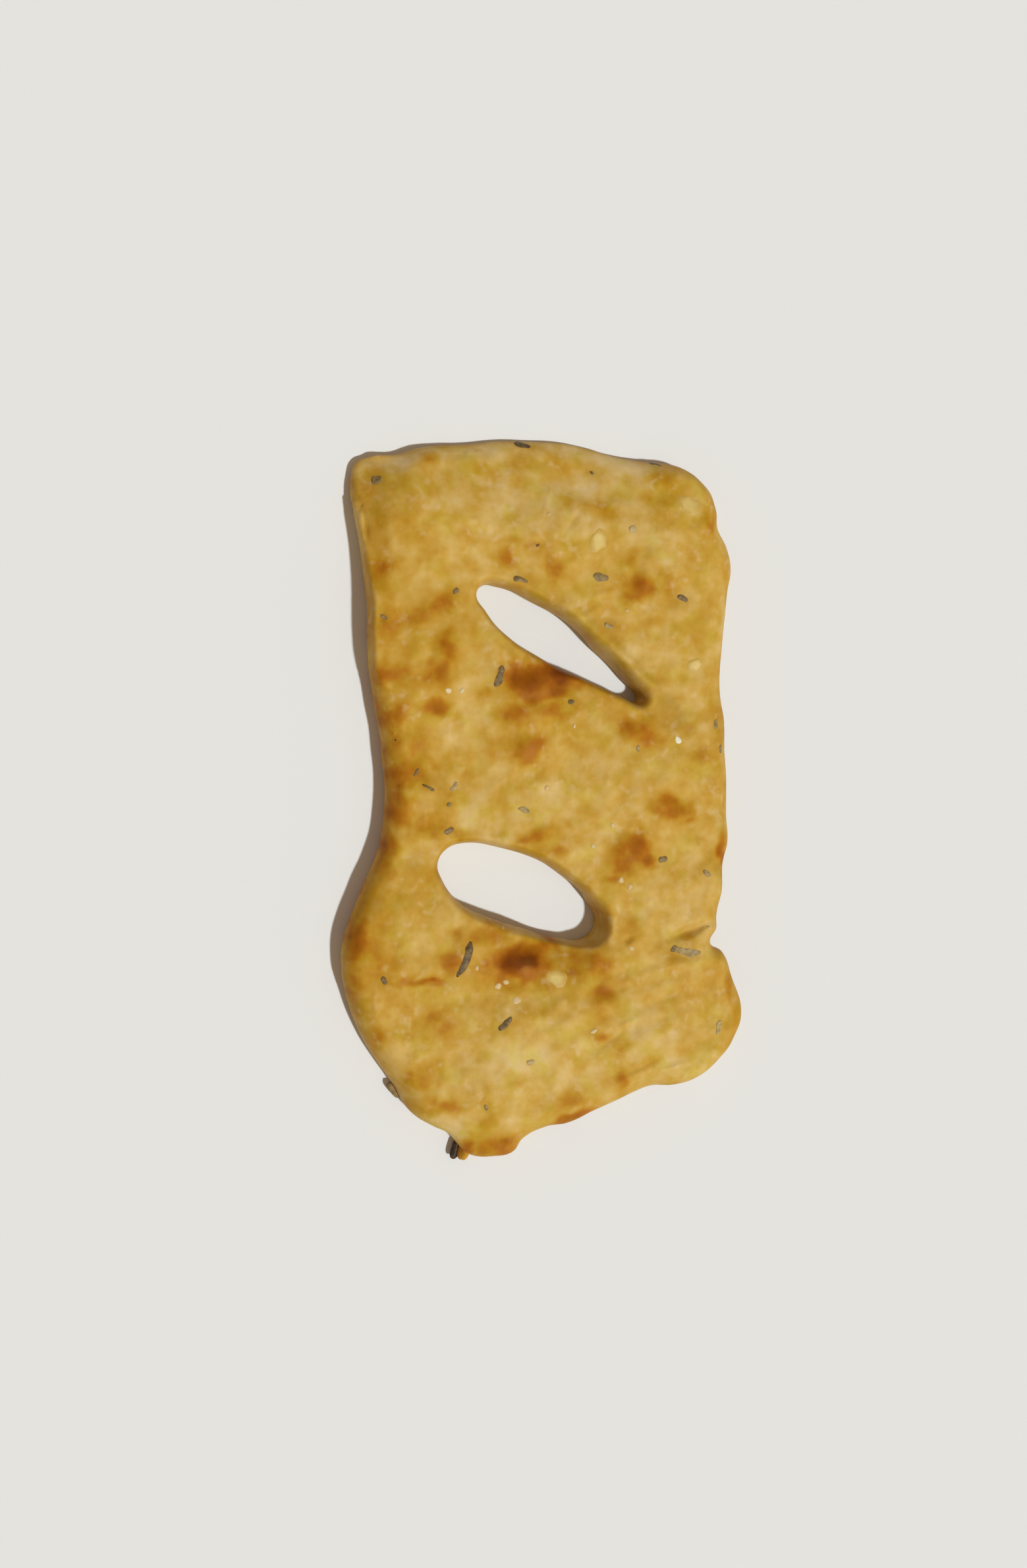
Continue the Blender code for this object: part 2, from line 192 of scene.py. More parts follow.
# %% [markdown]
# ## A slab with an even skin
#
# The filled curve is extruded to a slab and made a mesh. Its skin then has to be even and fine, because
# the whole relief is carved by moving its points: a voxel remesh gives a skin like that on any shape.

# %% The slab
CRUST_HEIGHT = 9.0
SKIN_GRID = 0.46

dough = traced("dough", DOUGH_EDGE)
slashes = [traced("slash", UPPER_SLASH), traced("slash", LOWER_SLASH)]
joined([dough, *slashes], "dough")
dough.data.fill_mode = "BOTH"
dough.data.extrude = CRUST_HEIGHT / 2 * MM
dough.location.z = CRUST_HEIGHT / 2 * MM
bpy.ops.object.convert(target="MESH")
settle(dough)
finish_with(dough, "REMESH", mode="VOXEL", voxel_size=SKIN_GRID * MM)
print(count(dough))

# %% [markdown]
# ## Where the edge is
#
# The crust curves down to the edge, and everything that follows the edge needs to know how far away it
# is and which way it lies. The traced curves are walked once more, and their points are kept in a tree
# that finds the nearest one quickly. The height at which the edge stands out furthest is its girth
# height. An edge pulled by hand is rounder than one that was cut, and a few stretches have a form of
# their own: the knife left the side steep, and the end that was pressed thin has a low girth.

# %% The forms of the edge
PULLED_ROUND = 4.8
CUT_ROUND = 1.7
GIRTH_HEIGHT = 3.9
NEAR_EDGE = 1.2  # closer than this, the way in is square to the outline
FORM_REACH = 1.5  # a form is gone where spot_reach comes to this, and whole where it is 1 less
# Where the edge has another form: (x, y, half length, half width, turn, girth height, round)
EDGE_FORMS = [
    (-37.0, 42.0, 19.0, 5.0, 93, 4.0, 1.1), (-39.0, 66.0, 6.0, 5.0, 0, 1.8, 1.3),
    (0.0, 72.5, 40.0, 7.0, -4, 0.9, 4.0), (-34.0, -52.0, 15.0, 6.0, -60, 2.0, 4.8),
    (3.0, -29.0, 8.0, 3.0, -8, 1.6, 1.3), (11.6, -26.0, 5.0, 3.5, -70, 1.0, 2.2),
    (17.5, 26.0, 9.0, 4.0, -45, 2.0, 1.9),
]


def spot_reach(points, spot):
    """How far out of a spot's middle the points are, squared: 0 in the middle and 1 at the rim."""
    x, y, half_length, half_width, turn = spot[:5]
    turn = math.radians(turn)
    offset = points - (x, y)
    along = offset @ (math.cos(turn), math.sin(turn))
    across = offset @ (-math.sin(turn), math.cos(turn))
    return (along / half_length) ** 2 + (across / half_width) ** 2


def smooth_step(values):
    values = np.clip(values, 0, 1)
    return values * values * (3 - 2 * values)


print(len(EDGE_FORMS), "stretches of the edge have a form of their own")

# %% The nearest edge
def walked(knots):
    """The points along the curve through some knots."""
    curve = traced("guide", knots)
    bpy.ops.object.convert(target="MESH")
    ring = points_of(bpy.context.object)[:, :2]
    bpy.ops.object.delete()
    return ring


def edge_form(ring, plain_round):
    """How high the edge stands out furthest, and how round it is, along a ring."""
    girth = np.full(len(ring), GIRTH_HEIGHT)
    round_there = np.full(len(ring), plain_round)
    for form in EDGE_FORMS:
        share = smooth_step(FORM_REACH - spot_reach(ring, form))
        girth += share * (form[5] - girth)
        round_there += share * (form[6] - round_there)
    return girth, round_there


class Edge:
    """The points along some outlines, the way into the dough from each, how round it is there, and how
    high it stands out furthest."""

    def __init__(self, outlines):
        places, ways_in, rounds, girths = [], [], [], []
        for knots in outlines:
            ring = walked(knots)
            along = np.roll(ring, -1, 0) - np.roll(ring, 1, 0)
            along /= np.linalg.norm(along, axis=1)[:, None]
            # Going clockwise, the dough is on the right of its edge and on the left of a slash
            side = 1 if knots is DOUGH_EDGE else -1
            girth, round_there = edge_form(ring, PULLED_ROUND if knots is DOUGH_EDGE else CUT_ROUND)
            places.append(ring)
            ways_in.append(side * np.column_stack([along[:, 1], -along[:, 0]]))
            rounds.append(round_there)
            girths.append(girth)
        self.places = np.concatenate(places)
        self.ways_in = np.concatenate(ways_in)
        self.rounds = np.concatenate(rounds)
        self.girths = np.concatenate(girths)
        self.tree = kdtree.KDTree(len(self.places))
        for index, (x, y) in enumerate(self.places):
            self.tree.insert((x, y, 0), index)
        self.tree.balance()

    def nearest(self, points):
        """How far away the edge is, the way in from it, how round it is there, and its girth's height."""
        found = [self.tree.find((x, y, 0))[1] for x, y in points]
        offset = points - self.places[found]
        straight = np.linalg.norm(offset, axis=1)
        square = (offset * self.ways_in[found]).sum(axis=1)
        near = straight < NEAR_EDGE
        distance = np.where(near, np.maximum(square, 0), straight)
        radial = offset / np.maximum(straight, NEAR_EDGE)[:, None]
        way_in = np.where(near[:, None], self.ways_in[found], radial)
        return distance, way_in, self.rounds[found], self.girths[found]


every_edge = Edge([DOUGH_EDGE, UPPER_SLASH, LOWER_SLASH])
outer_edge = Edge([DOUGH_EDGE])
print("the edge and the slashes have", len(every_edge.places), "guide points")

# %% [markdown]
# ## The relief of the crust
#
# Gas lifts the crust in broad puffs and in small blisters, and the dough sinks beside the slashes, by
# the pinch and towards the pressed end. Each of these is a spot: a place, two half sizes, a turn and a
# rise. A spot is a dome that levels out at its rim. Under the spots lies an unevenness that repeats
# nowhere, which noise gives in a few sizes, from swells as long as a finger is wide down to a pebbly
# skin.

# %% The spots of the relief
# Each spot is (x, y, half length, half width, turn, rise)
PUFFS = [
    (-22.0, 56.0, 18.0, 13.0, 20, 0.8), (3.0, 55.0, 13.0, 11.5, -10, 1.0),
    (28.0, 50.0, 12.0, 16.0, 0, 0.9), (-24.0, 24.0, 10.0, 17.0, 0, 0.8), (-4.0, 15.0, 15.0, 11.0, 10, 0.9),
    (26.0, 4.0, 12.0, 17.0, 0, 0.9), (-26.0, -28.0, 13.0, 17.0, 0, 1.0), (0.0, -46.0, 19.0, 11.0, 15, 0.8),
    (28.0, -50.0, 13.0, 9.0, 20, 0.6), (-12.0, -60.0, 12.0, 9.0, 0, 0.7),
]
BLISTERS = [
    (-2.0, 23.9, 7.0, 4.0, 8, 0.9), (-2.5, 17.5, 5.5, 3.4, 0, 0.6), (-4.4, 10.2, 4.2, 4.0, 0, 0.7),
    (18.8, 13.2, 5.0, 3.4, -10, 0.8), (26.6, -2.4, 6.4, 3.2, -18, 0.6), (17.9, -10.6, 4.9, 4.3, 0, 0.9),
    (-1.0, -7.0, 4.4, 2.4, 15, 0.5), (-5.5, -33.6, 5.2, 4.1, 0, 1.0), (-21.7, 29.6, 2.8, 5.0, 0, 0.5),
    (20.9, 44.9, 3.0, 3.6, 0, 0.5), (14.1, 60.7, 4.4, 2.2, 5, 0.4), (35.8, 57.5, 3.2, 3.2, 0, 0.5),
    (-30.2, 1.0, 4.0, 5.0, 0, 0.5), (10.8, -33.8, 2.8, 3.6, 0, 0.5), (-8.0, -72.0, 3.6, 2.4, 15, 0.5),
]
HOLLOWS = [
    (-37.0, 55.0, 4.5, 0.8, 97, -0.7), (24.5, 18.8, 7.5, 4.5, -35, -1.3),
    (31.5, -28.1, 8.0, 1.7, 17, -1.0), (30.5, -33.0, 6.5, 2.2, -2, -0.5),
    (-14.0, -40.0, 9.0, 4.0, 10, -0.4), (10.0, -40.5, 7.0, 2.6, 10, -0.5),
    (-28.0, -10.5, 6.0, 4.0, 30, -0.4), (30.0, 63.0, 6.0, 2.6, -20, -0.3),
    (38.0, -48.0, 22.0, 17.0, 0, -1.8), (-16.0, -74.0, 12.0, 9.0, 0, -1.6),
    (-2.0, 78.0, 48.0, 24.0, -3, -5.4), (-40.0, 73.0, 16.0, 18.0, 0, -5.5),
    (-38.5, 56.0, 7.0, 20.0, 4, -2.0), (4.0, -28.5, 11.0, 8.5, -8, -2.8),
]
CREASE = (-25.5, -36.7, 5.6, 0.9, -6, -0.45)
SKIN_MARKS = [  # pores and short folds
    (18.0, -29.6, 1.3, 0.8, 12, -0.5), (18.1, -30.9, 1.2, 0.8, 12, 0.35), (5.6, 57.5, 6.0, 0.9, 50, -0.2),
    (7.5, 61.0, 5.0, 0.8, -25, 0.2), (0.5, 61.5, 5.0, 0.8, 70, 0.2), (22.5, -21.5, 1.2, 1.0, 0, 0.25),
    (9.0, 38.5, 5.0, 1.0, 28, 0.25), (12.0, 42.5, 4.0, 0.9, 20, 0.2), (17.0, -47.5, 5.0, 0.8, 22, 0.25),
    (14.0, -50.5, 4.5, 0.8, 30, -0.2), (21.0, -56.5, 6.0, 0.9, 22, -0.25),
    (29.0, -57.0, 6.0, 1.0, 14, 0.2),
]
print(len(PUFFS), "puffs,", len(BLISTERS), "blisters and", len(HOLLOWS), "hollows")

# %% Domes, waves and wrinkles
WRINKLED = (17.0, -43.0, 26.0, 11.0, 17, 0.12)
WRINKLE_SPACING = 4.2
# Waves are (length, height, layer), and each layer has waves of its own
WRINKLE_WANDER = (11.0, 3.0, 3.5)
SWELLS = (19.0, 0.5, 1.5)
LUMPS = (6.5, 0.32, 2.5)
PEBBLES = (2.9, 0.2, 5.5)
GRAIN = (1.25, 0.03, 6.5)


def dome(points, spot):
    return spot[5] * np.clip(1 - spot_reach(points, spot), 0, 1) ** 2


def waves(points, length, height, layer):
    return height * np.array([noise.noise((x / length, y / length, layer)) for x, y in points])


def wrinkles(points):
    turn = math.radians(WRINKLED[4])
    across = points @ (-math.sin(turn), math.cos(turn)) + waves(points, *WRINKLE_WANDER)
    patch = np.clip(1 - spot_reach(points, WRINKLED), 0, 1)
    return WRINKLED[5] * patch * np.cos(2 * math.pi * across / WRINKLE_SPACING)


print("wrinkles", WRINKLE_SPACING, "mm apart beside the pinch")

# %% [markdown]
# ## Pinhead bubbles
#
# Small bubbles of gas stand in the skin too, hundreds of them, each about as wide as a pinhead. Their
# places are drawn at random from a fixed seed, so that the bread comes out the same each time.

# %% The pinhead bubbles
BUBBLES = 620
BUBBLES_ACROSS = (-44, 44)
BUBBLES_ALONG = (-75, 75)
BUBBLE_HALF = (0.5, 1.2)
BUBBLE_WIDTH = (0.6, 1.0)  # times its length
BUBBLE_TURN = (0, 180)
BUBBLE_RISE = (0.04, 0.18)
BUBBLE_DRAW = random.Random(7)

bubbles = []
for _ in range(BUBBLES):
    half = BUBBLE_DRAW.uniform(*BUBBLE_HALF)
    x = BUBBLE_DRAW.uniform(*BUBBLES_ACROSS)
    y = BUBBLE_DRAW.uniform(*BUBBLES_ALONG)
    half_width = half * BUBBLE_DRAW.uniform(*BUBBLE_WIDTH)
    turn = BUBBLE_DRAW.uniform(*BUBBLE_TURN)
    bubbles.append((x, y, half, half_width, turn, BUBBLE_DRAW.uniform(*BUBBLE_RISE)))


def crust_height(points):
    height = CRUST_HEIGHT + wrinkles(points)
    height += waves(points, *SWELLS) + waves(points, *LUMPS)
    height += waves(points, *PEBBLES) + waves(points, *GRAIN)
    for spot in [*PUFFS, *BLISTERS, *HOLLOWS, CREASE, *SKIN_MARKS, *bubbles]:
        height += dome(points, spot)
    return height


print(len(bubbles), "bubbles, the highest", round(max(bubble[5] for bubble in bubbles), 2), "mm")

# %% [markdown]
# ## From slab to bread
#
# Now the slab is baked. Above the girth its side bends over in about a quarter circle up to the crust,
# and below the girth it bends in to the base. Each point keeps its place along the way, so the even skin
# stays even. A slice off the underside makes the base flat, as bread baked on a tray is.

# %% Rounding the slab
BASE_ROUND = 0.56  # times the girth's height
RAGGED_EDGE = (7.0, 0.3, 4.5)
RAGGED_REACH = 6.0
BASE_TRIM = 0.06  # what the slice takes off
SNAP = 0.01  # a point this close to the slice counts as on it


def bake(obj):
    """Moves the slab's points to where they lie on the bread. In a slice across the edge, the square
    corner gets round in the way that a square's points fill a disc."""
    skin = points_of(obj)
    flat, z = skin[:, :2], skin[:, 2]
    distance, way_in, top_round, girth = every_edge.nearest(flat)
    above = z > girth
    reach = np.where(above, top_round, BASE_ROUND * girth)
    outwards = np.clip(1 - distance / reach, 0, 1)
    upwards = np.clip((z - girth) / np.where(above, CRUST_HEIGHT - girth, girth), -1, 1)
    inward = reach * (outwards - outwards * np.sqrt(1 - upwards**2 / 2))
    level = upwards * np.sqrt(1 - outwards**2 / 2)
    inward += waves(flat, *RAGGED_EDGE) * np.clip(1 - distance / RAGGED_REACH, 0, 1) ** 2
    span = np.where(above, crust_height(flat) - girth, girth)
    baked = np.column_stack([flat + inward[:, None] * way_in, girth + level * span])
    move_points(obj, baked - (0, 0, BASE_TRIM))


bake(dough)
pick(dough)
bpy.ops.object.mode_set(mode="EDIT")
bpy.ops.mesh.select_all(action="SELECT")
bpy.ops.mesh.bisect(plane_co=(0, 0, 0), plane_no=(0, 0, -1), clear_outer=True, threshold=SNAP * MM)
bpy.ops.mesh.select_all(action="DESELECT")
bpy.ops.mesh.select_non_manifold()
bpy.ops.mesh.fill(use_beauty=True)
bpy.ops.object.mode_set(mode="OBJECT")
bpy.ops.object.shade_smooth()
print(count(dough))

# %% [markdown]
# ## Browning
#
# What the oven did is painted on the points of the mesh, as a number for each: how far it is baked. The
# blisters stand closest to the heat, so they are darkest, with an orange halo round each. Edges that stand
# out brown as well, on the left most of all. Where browned spots overlap, the strongest one counts.
# Patches that baked a little more or less than the crust round them are added up instead; one of them,
# under the lower slash, is painted shade. Paler strips also lift the shade on the top edge, the left lip
# and the slashes' walls as painted light. Painting numbers, and letting the material turn them into
# colours, keeps all the colours in one place.

# %% Where the crust is browned
# Each spot is (x, y, half length, half width, turn, how much)
BROWNED_LEFT_EDGE = [
    (-35.5, 63.5, 3.5, 4.5, 0, 0.10), (-34.3, 55.0, 1.8, 6.0, 0, 0.14), (-34.0, 46.5, 2.2, 3.0, 0, 0.20),
    (-32.5, 36.0, 3.0, 4.0, 0, 0.18), (-33.5, 29.0, 1.3, 10.0, 0, 0.10), (-32.2, 25.5, 2.2, 2.0, 0, 0.24),
    (-31.7, 17.0, 2.3, 2.4, 0, 0.27), (-32.0, 11.0, 1.4, 4.0, 0, 0.15), (-28.5, 5.5, 3.8, 2.8, 0, 0.28),
    (-30.0, -2.0, 3.2, 3.2, 0, 0.33), (-32.8, -8.0, 1.5, 4.0, 0, 0.22), (-33.5, -13.0, 1.6, 3.0, 0, 0.18),
    (-37.5, -20.0, 4.5, 1.8, 60, 0.14), (-39.0, -27.0, 1.9, 4.8, 0, 0.28),
    (-39.8, -35.0, 1.6, 4.0, 0, 0.12), (-37.5, -44.0, 2.0, 4.0, 0, 0.10),
    (-36.0, -48.0, 2.5, 2.5, 0, 0.08), (-28.0, -14.0, 3.0, 3.0, 0, 0.08),
]
BROWNED_LEFT = [
    (-22.0, 40.5, 3.3, 2.2, 25, 0.27), (-26.0, 37.0, 3.0, 2.0, 0, 0.15), (-21.3, 31.0, 3.0, 3.2, 0, 0.38),
    (-22.8, 27.0, 2.2, 3.0, 0, 0.39), (-22.5, 19.0, 2.3, 2.2, 0, 0.34), (-27.0, 30.0, 3.0, 8.0, 0, 0.12),
    (-27.5, 60.0, 6.0, 9.0, 0, 0.06), (-24.0, 69.5, 2.2, 1.6, 0, 0.27), (-16.5, 52.8, 1.5, 1.5, 0, 0.12),
    (-15.5, 5.0, 2.5, 2.0, 0, 0.10), (-22.0, 8.0, 3.0, 2.0, 0, 0.15), (-24.0, -5.0, 4.0, 3.0, 0, 0.30),
    (-20.0, -6.5, 3.0, 1.5, 0, 0.15),
]
BROWNED_MIDDLE = [
    (-3.0, 25.2, 6.5, 3.5, 5, 0.50), (-2.0, 22.5, 5.5, 3.0, 5, 0.38), (-7.0, 17.0, 3.0, 3.0, 0, 0.24),
    (1.0, 18.5, 3.5, 2.0, 0, 0.30), (-4.5, 10.2, 3.5, 3.5, 0, 0.36), (19.5, 14.2, 3.6, 2.6, 0, 0.36),
    (22.5, 12.5, 2.5, 2.0, 0, 0.27), (27.0, -1.8, 5.0, 2.3, -20, 0.41), (30.5, -4.5, 2.0, 1.5, 0, 0.30),
    (15.8, -12.5, 3.2, 4.0, 0, 0.34), (20.0, -10.5, 3.8, 3.0, 0, 0.38), (22.0, -12.5, 1.8, 1.8, 0, 0.45),
    (14.0, -16.5, 2.5, 1.5, 0, 0.25), (-2.0, -7.2, 3.6, 1.8, 12, 0.33), (3.0, -10.5, 2.5, 1.5, 0, 0.20),
    (5.0, -5.5, 1.3, 1.3, 0, 0.12), (12.5, 12.5, 1.5, 1.0, 0, 0.15), (30.0, 15.0, 1.8, 1.3, 0, 0.12),
    (34.0, 8.5, 2.0, 1.5, 0, 0.13), (-9.5, 0.2, 1.8, 1.8, 0, 0.12), (15.0, 3.0, 1.5, 1.5, 0, 0.08),
    (39.0, -11.0, 1.0, 4.0, 0, 0.35), (11.5, 30.5, 12.0, 1.2, -44, 0.10),
]
BROWNED_TOP = [
    (34.8, 57.8, 2.6, 2.0, 0, 0.24), (29.5, 57.8, 6.0, 2.0, -5, 0.16), (25.5, 67.5, 2.5, 2.0, 0, 0.20),
    (23.0, 62.0, 3.5, 1.5, 0, 0.15), (4.3, 61.5, 1.8, 2.0, 0, 0.22), (12.0, 60.0, 4.2, 2.2, 0, 0.20),
    (3.0, 68.0, 3.0, 3.0, 0, 0.10), (-8.5, 49.5, 2.0, 1.8, 0, 0.30), (-6.5, 53.0, 1.6, 1.4, 0, 0.22),
    (-3.0, 51.7, 1.5, 1.3, 0, 0.22), (1.7, 47.0, 1.8, 3.2, 0, 0.25), (20.5, 44.0, 3.2, 2.8, 0, 0.38),
    (18.3, 50.0, 1.5, 2.0, 0, 0.20), (26.5, 42.5, 2.0, 3.0, 0, 0.13), (24.0, 37.0, 1.8, 1.2, 0, 0.13),
]
BROWNED_LOWER = [
    (-5.5, -33.5, 4.8, 3.8, 0, 0.66), (-7.0, -34.0, 7.0, 5.0, 0, 0.25), (11.0, -34.0, 3.0, 5.0, 0, 0.27),
    (7.0, -35.0, 3.0, 3.0, 0, 0.20), (12.0, -40.0, 3.0, 2.0, 0, 0.27), (-11.0, -28.0, 5.0, 3.0, 0, 0.25),
    (-19.5, -33.0, 2.2, 2.5, 0, 0.28), (-19.5, -27.0, 1.5, 1.5, 0, 0.20),
    (-26.0, -36.8, 5.0, 0.9, -6, 0.28), (13.0, -25.0, 1.5, 4.0, 0, 0.25), (18.8, -26.5, 1.8, 1.5, 0, 0.13),
    (-26.5, -63.0, 3.0, 2.5, 0, 0.25), (-21.0, -63.0, 3.0, 1.3, 0, 0.25),
    (-27.5, -57.0, 3.0, 4.0, 0, 0.20), (-20.0, -47.5, 2.5, 2.5, 0, 0.20),
    (-24.0, -44.0, 2.0, 2.0, 0, 0.15), (-36.0, -47.0, 2.5, 2.0, 0, 0.15), (5.5, -62.5, 2.2, 2.0, 0, 0.30),
    (6.3, -67.2, 4.5, 1.8, 18, 0.35), (-12.0, -66.0, 2.0, 3.0, 0, 0.15), (-16.0, -72.0, 2.0, 1.5, 0, 0.36),
    (-10.0, -72.4, 4.2, 2.6, 0, 0.28), (-18.5, -72.5, 1.8, 1.5, 0, 0.38), (16.5, -59.0, 1.8, 1.3, 0, 0.27),
    (17.0, -52.0, 2.0, 1.5, 0, 0.12), (20.0, -57.0, 5.0, 1.2, 20, 0.15), (31.0, -54.0, 2.5, 1.5, 0, 0.15),
    (12.0, -49.8, 2.0, 0.8, 0, 0.27), (41.0, -40.0, 1.2, 2.0, 0, 0.18), (43.0, -47.0, 1.4, 3.0, 0, 0.16),
]
BROWNED = BROWNED_LEFT_EDGE + BROWNED_LEFT + BROWNED_MIDDLE + BROWNED_TOP + BROWNED_LOWER
print(len(BROWNED), "browned spots")

# %% Where it is paler, where light and shade are painted, and where the oven was uneven
PALE_AND_PAINTED_LIGHT = [
    (-6.0, 61.0, 4.0, 3.0, 0, 0.05), (8.0, 41.5, 2.5, 1.2, 30, 0.08), (-1.0, 2.0, 6.0, 3.5, 0, 0.09),
    (-2.0, -2.5, 4.0, 1.5, 0, 0.06), (-18.0, 13.0, 4.0, 3.0, 0, 0.06), (-17.0, 24.0, 2.5, 3.5, 0, 0.06),
    (-28.0, -10.5, 2.5, 1.8, 0, 0.12), (-26.0, -27.0, 3.5, 3.0, 0, 0.08), (-4.0, -54.0, 7.0, 4.5, 0, 0.11),
    (5.0, -55.0, 4.0, 2.5, 0, 0.07), (-6.0, -63.0, 1.8, 6.0, 0, 0.08), (24.0, -34.0, 8.0, 3.0, 0, 0.07),
    (25.0, -45.0, 4.0, 4.0, 0, 0.06), (20.0, -20.0, 5.0, 4.0, 0, 0.05), (29.0, -53.0, 6.0, 3.5, 15, 0.09),
    (33.0, 28.0, 2.5, 3.0, 0, 0.06), (25.0, 52.0, 2.0, 3.0, 0, 0.05), (-10.0, 7.0, 2.5, 2.0, 0, 0.07),
    (0.5, -51.0, 18.0, 8.0, 10, 0.04), (11.0, 6.0, 7.0, 8.0, 0, 0.04), (31.0, 61.0, 2.6, 2.2, 0, 0.14),
    (-18.5, 56.0, 7.0, 7.0, 0, 0.03), (6.0, -44.0, 5.0, 2.5, 10, 0.05), (22.0, -36.5, 5.0, 1.5, 5, 0.07),
    # the strips at (-38.8, 56.5), (-30.0, 69.6), (-15.0, 71.8), (3.0, 73.8) and (18.0, 70.3) are partly
    # paler dough and partly painted light that lifts the shade where the edge slopes away from the sun
    (-38.8, 56.5, 9.0, 1.0, 97, 0.14), (-30.0, 69.6, 7.0, 2.0, 8, 0.24), (-15.0, 71.8, 9.0, 2.2, 5, 0.24),
    (3.0, 73.8, 9.0, 1.2, -2, 0.20), (18.0, 70.3, 8.0, 2.0, -12, 0.26), (17.1, -48.0, 4.0, 3.0, 0, 0.08),
    # (13.4, -25.5), (8.0, -30.0), (-4.0, -27.6) and (12.4, 31.2) are painted light on the slashes' shaded
    # rims and walls, and (24.0, 50.5) is a painted highlight
    (13.4, -25.5, 2.4, 4.5, -20, 0.16), (8.0, -30.0, 6.0, 1.2, 5, 0.16),
    (-4.0, -27.6, 5.0, 0.9, -18, 0.12), (12.4, 31.2, 10.0, 0.9, -43, 0.08),
    (24.0, 50.5, 2.0, 1.6, 0, 0.12),
]
